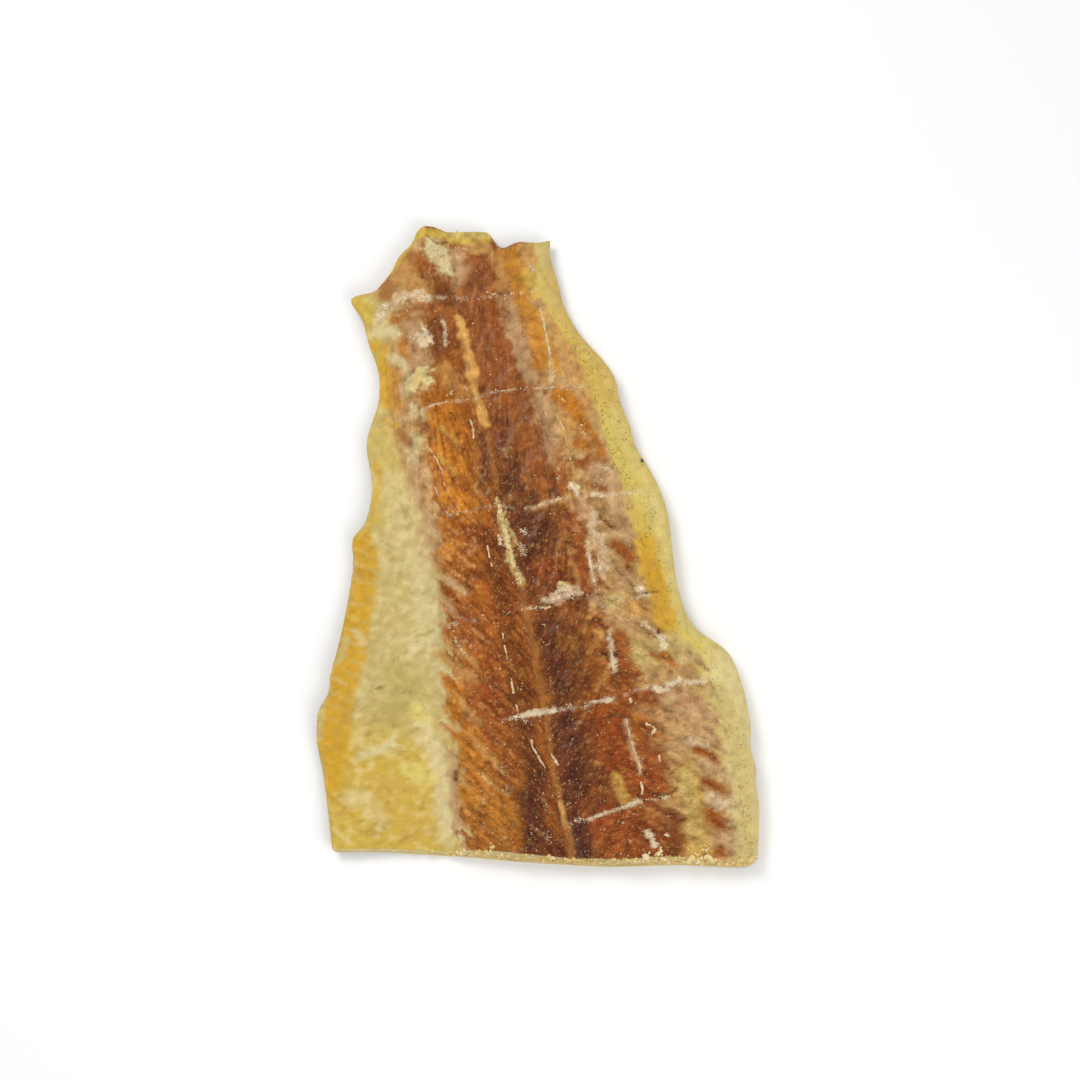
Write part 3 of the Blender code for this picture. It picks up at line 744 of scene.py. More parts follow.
def fleshRelief(s):
    x, y, across, values = s["x"], s["y"], s["across"], fleshBody
    inFlesh = ease(across, 1.0, 1.12) * (1 - ease(across, 2.93, 3.05))
    inFlap = 1 - ease(across, 0.95, 1.08)
    step = (s["phase"] - ease(s["phase"], 0.86, 1.0) + 0.5 * s["strand"]) * (1 - ease(y, 20, 60))
    height = inFlesh * (values["flakeHeight"] * step + values["fibreHeight"] * (s["fibre"] + s["band"]))

    flat = np.stack([x, 0.7 * y, 0 * x], -1)
    lowFlap = inFlap * (1 - ease(y, -75, -45))
    height -= inFlap * values["creaseDepth"] * creasesOf(s) * ease(s["fromBelly"], 8, 16)
    height += (0.14 * inFlap + 0.3 * lowFlap) * noiseAt(flat, 5, 5, 3)
    height += inFlap * (values["flapLumps"] * s["lump"] + 0.14 * s["ripple"])

    strip = bump(s["fromBelly"] - 3, 5.5) * ease(y, -102, -92) * (1 - ease(y, -4, 6))
    ribs = np.sin(2 * math.pi * (y + 0.45 * x + 1.2 * s["waver"]) / values["stripPitch"])
    height += strip * values["stripHeight"] * ribs

    for strength, dent in rackLines:
        gap = gapTo(dent, x, y)
        height -= values["dentDepth"] * bump(gap, 0.7) * ease(s["waver"] + 0.6 * s["ripple"], -0.5, 0.3)
        height += 0.8 * strength * values["dentDepth"] * bump(gap - 1.2, 0.8) * (0.4 + s["ripple"])
    for crack in crackLines.values():
        height -= values["crackDepth"] * bump(gapTo(smoothLine(crack), x, y), 0.45)
    for ringX, ringY, radius in bubbleRings:
        height += values["ringHeight"] * bump(np.hypot(x - ringX, y - ringY) - radius, 0.5)
    cord = values["cordHeight"] * bump(gapTo(smoothLine(strandLine), x + 0.4 * s["waver"], y), 1.1)
    height += cord * (1 + 0.6 * s["waver"]) * (0.6 + 0.4 * s["crust"] + ease(y, 40, 50))
    crumbly = values["crustHeight"] * np.abs(noiseAt(s["places"], 1.4, 6, 2))
    height += s["crust"] * (crumbly + 0.3 * noiseAt(s["places"], 3.4, 7, 2))
    height += inFlesh * (values["fleshLumps"] * s["lump"] + 0.14 * s["ripple"] + 0.08 * s["shiver"])
    return height + 0.1 * s["lump"] + 0.05 * s["ripple"]


def shapeFlesh(piece, s):
    height = s["top"] * fleshRelief(s)
    height += s["sawn"] * fleshBody["sawCrumble"] * (s["ripple"] + 0.6 * s["shiver"] - 0.3)
    places = s["places"] + s["normals"] * height[:, None]
    # Makes room for the skin, and more of it where the skin is flat.
    down = -s["normals"][:, 2]
    under = ease(down, 0.45, 0.75) + 2 * ease(down, 0.85, 0.97)
    places -= s["normals"] * (fleshBody["skinRoom"] * under)[:, None]
    writeVerts(piece, places * mm)


# Shader groups that several finishes share

def makeGroup(name, numbers, outputs):
    # A group with a vector and some numbers going in and numbers coming out
    group = bpy.data.node_groups.new(name, "ShaderNodeTree")
    group.interface.new_socket("Vector", in_out="INPUT", socket_type="NodeSocketVector")
    for label, value in numbers.items():
        socket = group.interface.new_socket(label, in_out="INPUT", socket_type="NodeSocketFloat")
        socket.default_value = value
    for label in outputs:
        group.interface.new_socket(label, in_out="OUTPUT", socket_type="NodeSocketFloat")
    start = group.nodes.new("NodeGroupInput")
    start.location = (-900, 0)
    end = group.nodes.new("NodeGroupOutput")
    end.location = (700, 0)
    return group, start, end


def addNode(tree, kind, place, **settings):
    made = tree.nodes.new(kind)
    made.location = place
    for key, value in settings.items():
        if key.startswith("in_"):
            made.inputs[key[3:].replace("_", " ")].default_value = value
        else:
            setattr(made, key, value)
    return made


def mathNode(tree, operation, place, *values, clamp=False):
    made = tree.nodes.new("ShaderNodeMath")
    made.operation, made.location, made.use_clamp = operation, place, clamp
    for socket, value in zip(made.inputs, values):
        if isinstance(value, (int, float)):
            socket.default_value = value
        else:
            tree.links.new(value, socket)
    return made.outputs[0]


def specksGroup():
    # Small scattered specks, one to some of the cells
    numbers = {"Scale": 900.0, "Share": 0.3, "Size": 0.2}
    group, start, end = makeGroup("scatteredSpecks", numbers, ["Mask", "Tone"])
    cells = addNode(group, "ShaderNodeTexVoronoi", (-600, 0), feature="F1")
    group.links.new(start.outputs["Vector"], cells.inputs["Vector"])
    group.links.new(start.outputs["Scale"], cells.inputs["Scale"])
    parts = addNode(group, "ShaderNodeSeparateColor", (-400, -150))
    group.links.new(cells.outputs["Color"], parts.inputs[0])
    chosen = mathNode(group, "LESS_THAN", (-200, -150), parts.outputs[0], start.outputs["Share"])
    spread = mathNode(group, "MULTIPLY_ADD", (-200, -350), parts.outputs[1], 0.7, 0.3)
    radius = mathNode(group, "MULTIPLY", (0, -250), spread, start.outputs["Size"])
    near = mathNode(group, "SUBTRACT", (0, 0), radius, cells.outputs["Distance"])
    sharp = mathNode(group, "MULTIPLY", (180, 0), near, 14.0, clamp=True)
    group.links.new(mathNode(group, "MULTIPLY", (380, 0), sharp, chosen), end.inputs["Mask"])
    group.links.new(parts.outputs[2], end.inputs["Tone"])
    return group


def mottleGroup():
    # Uneven tone around 1, and the height that goes with it
    numbers = {"Scale": 300.0, "Depth": 0.3}
    group, start, end = makeGroup("unevenTone", numbers, ["Factor", "Height"])
    fine = addNode(group, "ShaderNodeTexNoise", (-600, 0), in_Detail=5.0, in_Roughness=0.65)
    group.links.new(start.outputs["Vector"], fine.inputs["Vector"])
    group.links.new(start.outputs["Scale"], fine.inputs["Scale"])
    offset = mathNode(group, "SUBTRACT", (-350, 0), fine.outputs["Fac"], 0.5)
    factor = mathNode(group, "MULTIPLY_ADD", (-150, 0), offset, start.outputs["Depth"], 1.0)
    group.links.new(factor, end.inputs["Factor"])
    group.links.new(fine.outputs["Fac"], end.inputs["Height"])
    return group


def fibreGroup():
    # Streaks along the muscle: the vector is across a flake, then along it, in millimetres.
    group, start, end = makeGroup("muscleFibres", {"Across": 1.6, "Along": 0.3}, ["Mask"])
    scale = addNode(group, "ShaderNodeCombineXYZ", (-700, -150))
    group.links.new(start.outputs["Across"], scale.inputs[0])
    group.links.new(start.outputs["Along"], scale.inputs[1])
    stretched = addNode(group, "ShaderNodeVectorMath", (-500, 0), operation="MULTIPLY")
    group.links.new(start.outputs["Vector"], stretched.inputs[0])
    group.links.new(scale.outputs[0], stretched.inputs[1])
    streaks = addNode(group, "ShaderNodeTexNoise", (-300, 0), in_Scale=1.0, in_Detail=4.0, in_Distortion=1.2)
    group.links.new(stretched.outputs[0], streaks.inputs["Vector"])
    spread = addNode(group, "ShaderNodeMapRange", (0, 0), in_From_Min=0.3, in_From_Max=0.7)
    group.links.new(streaks.outputs["Fac"], spread.inputs["Value"])
    group.links.new(spread.outputs[0], end.inputs["Mask"])
    return group


specks, mottle, fibres = specksGroup(), mottleGroup(), fibreGroup()


def addGroup(tree, group, place, vector, **values):
    made = tree.nodes.new("ShaderNodeGroup")
    made.node_tree, made.location = group, place
    tree.links.new(vector, made.inputs["Vector"])
    for key, value in values.items():
        made.inputs[key].default_value = value
    return made


def newMaterial(name, roughness=0.5, specular=0.5):
    material = bpy.data.materials.new(name)
    material.use_nodes = True
    tree = material.node_tree
    shader = tree.nodes["Principled BSDF"]
    shader.location = (1100, 0)
    tree.nodes["Material Output"].location = (1400, 0)
    shader.inputs["Roughness"].default_value = roughness
    shader.inputs["Specular IOR Level"].default_value = specular
    return material, tree, shader


def plainMaterial(name, colour, roughness):
    material = newMaterial(name, roughness)[0]
    shader = material.node_tree.nodes["Principled BSDF"]
    shader.inputs["Base Color"].default_value = (*colour, 1)
    return material


def objectPlaces(tree):
    return addNode(tree, "ShaderNodeTexCoord", (-1500, 0)).outputs["Object"]


def mixTint(tree, place, factor, first, second):
    made = addNode(tree, "ShaderNodeMix", place, data_type="RGBA")
    for socket, value in ((made.inputs[0], factor), (made.inputs[6], first), (made.inputs[7], second)):
        if isinstance(value, (tuple, list, np.ndarray)):
            socket.default_value = (*value[:3], 1)
        else:
            tree.links.new(value, socket)
    return made.outputs[2]


def scaleTint(tree, place, colour, factor):
    made = addNode(tree, "ShaderNodeVectorMath", place, operation="SCALE")
    tree.links.new(colour, made.inputs[0])
    tree.links.new(factor, made.inputs["Scale"])
    return made.outputs[0]


def attributeNode(tree, name, place, output="Fac"):
    return addNode(tree, "ShaderNodeAttribute", place, attribute_name=name).outputs[output]


def bumpNode(tree, place, height, distance, strength, before=None):
    made = addNode(tree, "ShaderNodeBump", place, in_Distance=distance, in_Strength=strength)
    tree.links.new(height, made.inputs["Height"])
    if before is not None:
        tree.links.new(before, made.inputs["Normal"])
    return made.outputs["Normal"]


# Finish of the flesh

fleshFinish = {
    "specular": 0.12, "coatRoughness": 0.15, "subsurface": 0.06, "saltShare": 0.2, "saltSize": 0.22,
}


def fleshMaterial():
    material, tree, shader = newMaterial("driedFlesh", specular=fleshFinish["specular"])
    places = objectPlaces(tree)
    paint = attributeNode(tree, "paint", (-1300, 300), "Color")
    grain = attributeNode(tree, "grain", (-1300, 100), "Vector")
    dull = attributeNode(tree, "dull", (-1300, -100))
    lively = attributeNode(tree, "lively", (-1300, -200))
    crusty = attributeNode(tree, "crusty", (-1300, -500))

    streaks = addGroup(tree, fibres, (-1000, 600), grain).outputs["Mask"]
    flecks = addGroup(tree, fibres, (-1000, 900), grain, Across=1.5, Along=0.9).outputs["Mask"]
    marked = mathNode(tree, "MULTIPLY_ADD", (-800, 850), lively, 0.65, 0.35)
    # Pale flecks along the fibres, which also serve as painted glints, and painted shade in the hollows
    # beside them
    fleckAndGlint = mathNode(tree, "MULTIPLY_ADD", (-800, 1000), flecks, 7.0, -5.8, clamp=True)
    fleckAndGlint = mathNode(tree, "MULTIPLY", (-600, 1000), fleckAndGlint, marked)
    fleckAndGlintMask = mathNode(tree, "MULTIPLY", (-400, 900), fleckAndGlint, 0.75)
    hollowShade = mathNode(tree, "MULTIPLY_ADD", (-800, 1200), flecks, -5.0, 1.1, clamp=True)
    hollowShade = mathNode(tree, "MULTIPLY", (-600, 1200), hollowShade, marked)
    hollowShadeMask = mathNode(tree, "MULTIPLY", (-400, 1100), hollowShade, 0.2)
    uneven = addGroup(tree, mottle, (-1000, 400), places, Scale=1000.0, Depth=1.0)
    depth = mathNode(tree, "MULTIPLY_ADD", (-800, 200), lively, 0.5, 0.35)
    centred = mathNode(tree, "SUBTRACT", (-800, 400), uneven.outputs["Height"], 0.5)
    mottled = mathNode(tree, "MULTIPLY_ADD", (-600, 350), centred, depth, 1.0)
    streakDepth = mathNode(tree, "MULTIPLY", (-800, 550), lively, 0.22)
    streakOffset = mathNode(tree, "SUBTRACT", (-800, 700), streaks, 0.5)
    streaked = mathNode(tree, "MULTIPLY_ADD", (-600, 600), streakOffset, streakDepth, 1.0)
    toned = scaleTint(tree, (-200, 400), paint, mathNode(tree, "MULTIPLY", (-400, 500), mottled, streaked))
    # Mixes in the pale flecks with their painted glints, then the painted shade of the hollows
    toned = mixTint(tree, (0, 500), fleckAndGlintMask, toned, tint(222, 182, 122))
    toned = mixTint(tree, (150, 500), hollowShadeMask, toned, tint(70, 38, 14))

    salt = addGroup(tree, specks, (-1000, -1000), places, Scale=1100.0,
                    Share=fleshFinish["saltShare"], Size=fleshFinish["saltSize"])
    patches = addGroup(tree, mottle, (-1000, -1200), places, Scale=160.0, Depth=1.0)
    patchHeight = patches.outputs["Height"]
    patchMask = mathNode(tree, "MULTIPLY_ADD", (-750, -1200), patchHeight, 4.0, -1.7, clamp=True)
    brightness = mathNode(tree, "MULTIPLY", (-750, -1000), salt.outputs["Mask"], salt.outputs["Tone"])
    saltMask = mathNode(tree, "MULTIPLY", (-550, -1100), brightness, patchMask)
    onFlesh = mathNode(tree, "MULTIPLY", (-350, -1100), saltMask, lively)
    salted = mixTint(tree, (350, 350), onFlesh, toned, tint(226, 190, 136))
    tree.links.new(salted, shader.inputs["Base Color"])

    rough = mathNode(tree, "MULTIPLY_ADD", (-400, -100), dull, 0.2, 0.38)
    rough = mathNode(tree, "MULTIPLY_ADD", (-200, -100), crusty, 0.3, rough)
    rough = mathNode(tree, "MULTIPLY", (0, -100), rough, uneven.outputs["Factor"])
    tree.links.new(rough, shader.inputs["Roughness"])
    shiny = mathNode(tree, "SUBTRACT", (-400, -250), 1.0, dull, clamp=True)
    tree.links.new(mathNode(tree, "MULTIPLY", (0, -250), shiny, 0.11), shader.inputs["Coat Weight"])
    shader.inputs["Coat Roughness"].default_value = fleshFinish["coatRoughness"]
    shader.inputs["Subsurface Weight"].default_value = fleshFinish["subsurface"]
    shader.inputs["Subsurface Radius"].default_value = (1.0, 0.5, 0.2)
    shader.inputs["Subsurface Scale"].default_value = 0.002

    streakHeight = mathNode(tree, "MULTIPLY", (0, -500), streaks, lively)
    unevenHeight = mathNode(tree, "MULTIPLY", (0, -600), uneven.outputs["Height"], marked)
    fleckHeight = mathNode(tree, "MULTIPLY", (0, -700), flecks, marked)
    normal = bumpNode(tree, (300, -600), streakHeight, 0.00015, 0.6)
    normal = bumpNode(tree, (500, -600), unevenHeight, 0.0004, 0.7, normal)
    normal = bumpNode(tree, (700, -600), fleckHeight, 0.0003, 0.6, normal)
    tree.links.new(normal, shader.inputs["Normal"])
    return material


flesh = makeFlesh()
survey = surveyOf(flesh)
paint = paintFlesh(survey)
shapeFlesh(flesh, survey)
storeColour(flesh, "paint", paint)
storeVector(flesh, "grain", survey["grain"])
storeMask(flesh, "dull", survey["dull"])
storeMask(flesh, "lively", survey["inFlesh"] * (1 - 0.5 * ease(survey["y"], 45, 75)))
storeMask(flesh, "crusty", np.maximum(survey["crust"], survey["sawn"]))
finishPiece(flesh, fleshMaterial())


# Places on the flesh for what lies on it, and copies that are joined into one mesh

fleshTree = BVHTree.FromPolygons(
    [tuple(v) for v in readVerts(flesh)], [tuple(face.vertices) for face in flesh.data.polygons]
)


def dropOn(x, y):
    # Height in millimetres of the flesh under a point.
    above = 60
    hit = fleshTree.ray_cast(Vector((x, y, above)) * mm, Vector((0, 0, -1)))[0]
    return None if hit is None else hit.z / mm


def shapeOf(adder, **settings):
    deselectAll()
    adder(**settings)
    piece = bpy.context.active_object
    corners = readVerts(piece)
    faces = np.array([list(face.vertices) for face in piece.data.polygons])
    bpy.data.objects.remove(piece)
    return corners, faces


def joinCopies(name, shape, places, normals, sizes, unevenness, rng, angle=None):
    # One mesh of many copies in millimetres, each turned on its own normal and a little out of shape.
    corners, faces = shape
    count = len(places)
    if angle is None:
        angle = rng.uniform(0, 2 * math.pi, count)
    lean = normals + 0.35 * rng.normal(size=(count, 3))
    up = lean / np.linalg.norm(lean, axis=1)[:, None]
    side = np.stack([np.cos(angle), np.sin(angle), 0 * angle], -1)
    side -= up * np.sum(side * up, axis=1)[:, None]
    side /= np.linalg.norm(side, axis=1)[:, None]
    frames = np.stack([side, np.cross(up, side), up], axis=1)
    local = corners[None] * (1 + unevenness * rng.uniform(-1, 1, (count, len(corners), 3))) * sizes[:, None]
    whole = places[:, None] + np.einsum("nvi,nij->nvj", local, frames)
    mesh = bpy.data.meshes.new(name)
    shifted = faces[None] + (np.arange(count) * len(corners))[:, None, None]
    mesh.from_pydata((whole.reshape(-1, 3) * mm).tolist(), [], shifted.reshape(-1, faces.shape[1]).tolist())
    piece = bpy.data.objects.new(name, mesh)
    bpy.context.scene.collection.objects.link(piece)
    return piece


# Fine salt all over the flesh. Most grains are glassy and take the tint of what they lie on.

saltFinish = {"grains": 3800, "smallest": 0.07, "largest": 0.27, "roughness": 0.45}


def grainMaterial():
    material, tree, shader = newMaterial("fineSalt", saltFinish["roughness"], 0.4)
    tree.links.new(attributeNode(tree, "paint", (-900, 200), "Color"), shader.inputs["Base Color"])
    return material


def toneMaterial(name, paleTint, warmTint, roughness):
    material, tree, shader = newMaterial(name, roughness, 0.3)
    tone = attributeNode(tree, "tone", (-900, 200))
    uneven = addGroup(tree, mottle, (-900, -100), objectPlaces(tree), Scale=1500.0, Depth=0.35)
    colour = mixTint(tree, (-500, 200), tone, paleTint, warmTint)
    colour = scaleTint(tree, (-200, 150), colour, uneven.outputs["Factor"])
    tree.links.new(colour, shader.inputs["Base Color"])
    normal = bumpNode(tree, (300, -300), uneven.outputs["Height"], 0.0002, 0.4)
    tree.links.new(normal, shader.inputs["Normal"])
    return material


def saltDensity(s):
    x, y, across = s["x"], s["y"], s["across"]
    clusters = ease(noiseAt(s["places"], 5, 21, 3), 0.15, 0.5)
    onFlesh = ease(across, 0.96, 1.1) * (1 - 0.85 * ease(across, 2.9, 3.0)) * (1 - 0.75 * ease(y, 10, 45))
    density = onFlesh * (0.12 + 1.8 * clusters + 0.6 * s["strand"] * s["inFlesh"]) + 0.02
    density += 0.8 * onFlesh * bump(np.hypot(x + 22, y + 60) - 4, 7) * ease(s["drift"], -0.2, 0.3)
    for strength, dent in rackLines:
        density += 2 * strength * bump(gapTo(dent, x, y), 1.1)
    return density * s["top"] * (s["normals"][:, 2] > 0.4) * (1 - s["sawn"])


def scatterOn(s, density, count, rng):
    chosen = rng.choice(len(density), size=count, p=density / density.sum())
    places = s["finished"][chosen] + rng.uniform(-0.3, 0.3, (count, 3)) * [1, 1, 0]
    return places, s["normals"][chosen], chosen


def makeSaltGrains():
    rng = np.random.default_rng(5)
    count = saltFinish["grains"]
    places, normals, chosen = scatterOn(survey, saltDensity(survey), count, rng)
    small, large = saltFinish["smallest"], saltFinish["largest"]
    size = small + (large - small) * rng.random(count) ** 2.6
    form = [rng.uniform(0.8, 1.5, count), rng.uniform(0.6, 1, count), 0.6 + 0 * size]
    sizes = size[:, None] * np.stack(form, -1)
    cube = shapeOf(bpy.ops.mesh.primitive_cube_add, size=2)
    piece = joinCopies("saltGrains", cube, places + 0.1 * normals, normals, sizes, 0.3, rng)
    white = (0.1 + 0.9 * rng.random(count) ** 2)[:, None]
    colours = paint[chosen] * (1 - white) + tint(228, 196, 142) * white
    storeColour(piece, "paint", np.repeat(colours, len(cube[0]), axis=0))
    finishPiece(piece, grainMaterial(), flat=True)


survey["finished"] = readVerts(flesh) / mm
makeSaltGrains()


# Crumbs of salt and dried film, in heaps: how many, their sizes, spread and tone, and the line they follow.
crumbHeaps = [
    (210, 0.25, 0.62, 1.2, 0.3, [(3, -25.4), (9, -23.8), (15.5, -22.2)]),
    (150, 0.25, 0.62, 1.2, 0.3, [(6.5, -22.8), (9.5, -20.8), (15, -21)]),
    (70, 0.4, 0.8, 1.0, 0.9, [(8.5, -18.3), (11, -19.5)]),
    (200, 0.35, 0.95, 1.3, 0.75, [(-48.5, 60.5), (-45.5, 64.5)]),
    (120, 0.3, 0.8, 1.5, 0.4, [(-48, 81), (-44, 78), (-43, 82)]),
    (45, 0.25, 0.6, 0.7, 0.3, [(-37.5, 87), (-36.5, 84), (-36, 77)]),
    (170, 0.3, 0.75, 1.7, 0.25, [(-63, 87), (-60, 94)]),
    (190, 0.3, 0.75, 1.8, 0.25, [(-54, 97), (-47, 98), (-43, 96)]),
    (120, 0.3, 0.75, 1.7, 0.4, [(-42, 118), (-37, 113), (-36, 109)]),
    (50, 0.25, 0.6, 0.9, 0.7, [(-33, 117), (-27, 117)]),
    (80, 0.25, 0.7, 1.1, 0.9, [(-31.5, 88), (-29.5, 83), (-28, 77), (-26, 67)]),
    (70, 0.25, 0.6, 0.7, 0.9, [(-25.5, 65), (-23.5, 55), (-21, 48)]),
    (620, 0.3, 0.9, 1.6, 0.65, [(-15.5, 15), (-14, 8), (-12, 0), (-11, -5)]),
    (420, 0.3, 0.85, 1.3, 0.75, [(-11, -5), (-9, -11), (-6.5, -18.5)]),
    (90, 0.25, 0.6, 0.9, 0.1, [(-15, 1), (-14, -4)]),
    (110, 0.2, 0.5, 1.9, 0.1, [(-7, 4), (-4, 1)]),
    (120, 0.2, 0.5, 1.7, 0.1, [(-7, -2), (-5, -8)]),
    (50, 0.3, 0.7, 0.8, 0.5, [(-20, 99.5), (-16.5, 98.5)]),
    (40, 0.3, 0.7, 0.7, 0.7, [(-3, 110), (-1, 107.5)]),
    (110, 0.25, 0.6, 1.3, 0.3, [(-36, 57), (-28, 60)]),
    (90, 0.25, 0.6, 1.1, 0.4, [(5, 61), (7.5, 68)]),
    (70, 0.25, 0.65, 1.0, 0.85, [(9.5, 55.5), (13, 52)]),
    (60, 0.25, 0.6, 0.8, 0.4, [(17, 45), (18.5, 41)]),
    (40, 0.25, 0.5, 0.6, 0.4, [(8.5, 27), (8, 21)]),
    (120, 0.25, 0.6, 0.9, 0.45, [(-2, 11), (4, 13.5), (10, 14.8)]),
    (130, 0.3, 0.75, 1.0, 0.3, [(13.6, 20.5), (15.5, 17.5)]),
    (110, 0.25, 0.65, 0.8, 0.2, [(20.5, 17.5), (26, 16.2)]),
    (70, 0.2, 0.5, 0.8, 0.3, [(26, 16.4), (40, 18)]),
    (70, 0.25, 0.55, 1.1, 0.2, [(24, 28.5), (29.5, 26)]),
    (50, 0.2, 0.5, 1.2, 0.2, [(22, 26), (27, 21)]),
    (330, 0.2, 0.5, 1.5, 0.12, [(22, 9), (21, 3), (24, 0), (26, -4), (25, -13)]),
    (60, 0.2, 0.5, 1.2, 0.2, [(27, -11), (28, -15)]),
    (50, 0.25, 0.5, 0.5, 0.6, [(2.5, -28.4), (9, -26.5)]),
    (60, 0.2, 0.5, 1.0, 0.3, [(-4, -28), (0, -28)]),
    (25, 0.2, 0.5, 0.4, 0.3, [(38, -20.5), (41, -21.3)]),
    (120, 0.3, 0.75, 0.9, 0.35, [(47.3, -39.3), (49, -43)]),
    (60, 0.25, 0.6, 0.6, 0.2, [(41, -34.6), (45, -37.2)]),
    (240, 0.3, 0.8, 0.9, 0.2, [(-9, -70.4), (-3, -69.3), (3, -68.6), (7, -67.5)]),
    (60, 0.25, 0.6, 0.8, 0.2, [(-12, -71), (-3, -72)]),
    (60, 0.25, 0.6, 0.8, 0.2, [(9, -67), (13, -65.5)]),
    (130, 0.3, 0.8, 0.8, 0.4, [(45.5, -60.2), (50, -60)]),
    (80, 0.25, 0.6, 0.9, 0.2, [(50, -58), (55, -56)]),
    (110, 0.25, 0.6, 1.0, 0.2, [(57, -57.5), (65, -56)]),
    (30, 0.25, 0.6, 0.6, 0.3, [(35.5, -63.2), (36, -64.8)]),
    (75, 0.35, 0.9, 0.6, 0.55, [(41.3, -72.8), (45, -75), (43, -77.5)]),
    (110, 0.15, 0.4, 1.6, 0.4, [(-25, -53), (-16, -58)]),
    (80, 0.25, 0.6, 0.9, 0.4, [(-37, -50), (-31, -56)]),
    (60, 0.25, 0.6, 0.8, 0.4, [(-32, -40), (-28, -46)]),
    (50, 0.3, 0.6, 0.5, 0.25, [(-10, -57), (-9, -61)]),
    (40, 0.25, 0.6, 0.7, 0.2, [(13, -111), (15, -109.5), (18, -109)]),
    (100, 0.25, 0.6, 0.8, 0.25, [(20, -109), (29, -106)]),
    (110, 0.25, 0.6, 0.9, 0.25, [(31, -105), (38, -102.5)]),
    (40, 0.2, 0.5, 0.7, 0.3, [(40, -102), (51, -100.5)]),
    (90, 0.25, 0.65, 0.9, 0.15, [(41.5, -114.5), (43, -115), (44.5, -119)]),
    (30, 0.25, 0.6, 0.7, 0.15, [(48.5, -115), (50, -115.5)]),
    (50, 0.2, 0.5, 1.1, 0.3, [(35, -117), (38, -119)]),
    (90, 0.15, 0.4, 2.0, 0.15, [(0, -113), (7, -118)]),
    (60, 0.15, 0.4, 1.6, 0.15, [(1, -97), (4, -107)]),
    (130, 0.2, 0.5, 1.7, 0.55, [(54, -98), (60, -103)]),
    (40, 0.2, 0.5, 1.0, 0.9, [(53, -69.5), (59, -70)]),
    (80, 0.25, 0.6, 1.2, 0.35, [(-30, -112), (-28.5, -118)]),
    (60, 0.3, 0.8, 0.8, 0.75, [(-19, -120.5), (-16.5, -119.5)]),
    (90, 0.15, 0.4, 1.6, 0.4, [(-23, -80), (-10, -90)]),
    (30, 0.2, 0.5, 0.8, 0.3, [(-22, -91), (-19, -95)]),
    (25, 0.2, 0.5, 0.6, 0.3, [(-20.5, -100.5), (-20, -104)]),
    (90, 0.15, 0.4, 1.4, 0.3, [(-13, -90), (-11, -100)]),
    (40, 0.3, 0.7, 0.7, 0.8, [(47, 6.5), (42, 7.5)]),
    (120, 0.2, 0.5, 0.8, 0.15, whiteLines["middle"]),
    (110, 0.2, 0.5, 0.8, 0.15, [(28, -38), (28.6, -46), (29.6, -53)]),
    (60, 0.2, 0.45, 0.6, 0.4, [(34, -71), (37, -83), (39, -92)]),
    (60, 0.4, 2.7, 1.4, 0.7, [(38, -124), (50, -124.4)]),
    (30, 0.3, 1.8, 2.6, 0.6, [(44, -121.5), (48, -122.5)]),
    (40, 0.6, 2.2, 1.3, 0.7, [(51, -124), (56, -124.2)]),
    (70, 0.4, 3, 1.5, 0.7, [(57, -124), (69, -124.8)]),
    (40, 0.3, 2, 2.6, 0.6, [(60, -121), (64, -122)]),
    (70, 0.5, 1.7, 1.4, 0.7, [(-30, -121.5), (-12, -122.5)]),
]


def makeCrumbs():
    rng = np.random.default_rng(11)
    places, sizes, tones = [], [], []

    def addCrumb(x, y, size, tone):
        height = dropOn(x, y)
        if height is not None:
            places.append((x, y, height + 0.2 * size))
            sizes.append(size * rng.uniform(0.6, 1.25, 3) * [1, 1, 0.8])
            tones.append(np.clip(tone + rng.uniform(-0.3, 0.3), 0, 1))

    for count, small, large, spread, tone, line in crumbHeaps:
        path = smoothLine(line)
        for along in rng.uniform(0, len(path) - 1, count):
            x, y = pointOn(path, along)
            dx, dy = rng.normal(0, 0.55 * spread, 2)
            closeness = math.exp(-(dx**2 + dy**2) / (2 * spread**2))
            if noise.noise(Vector((x + dx, y + dy, 4)) / 1.6) > -0.12:
                size = (small + (large - small) * rng.random() ** 1.7) * closeness * 0.62
                addCrumb(x + dx, y + dy, size, tone)
    for strength, path in rackLines:
        length = np.sum(np.linalg.norm(np.diff(path, axis=0), axis=1))
        for along in rng.uniform(0, len(path) - 1, int(6 * strength * length)):
            x, y = pointOn(path, along)
            if noise.noise(Vector((x / 5, y / 5, 3))) + 0.25 * rng.normal() > 0.3 - 0.35 * strength:
                dx, dy = rng.normal(0, 0.5, 2)
                addCrumb(x + dx, y + dy, rng.uniform(0.12, 0.32), 0.2)
    pebble = shapeOf(bpy.ops.mesh.primitive_ico_sphere_add, subdivisions=1, radius=1)
    ups = np.tile((0.0, 0.0, 1.0), (len(places), 1))
    piece = joinCopies("saltCrumbs", pebble, np.array(places), ups, np.array(sizes), 0.3, rng)
    storeMask(piece, "tone", np.repeat(tones, len(pebble[0])))
    material = toneMaterial("saltCrumb", tint(238, 222, 196), tint(226, 196, 116), 0.6)
    finishPiece(piece, material, flat=True)


makeCrumbs()


# Crumbs that the saw left along the wide end

sawCrumbs = {"count": 1800, "smallest": 0.22, "largest": 0.8}


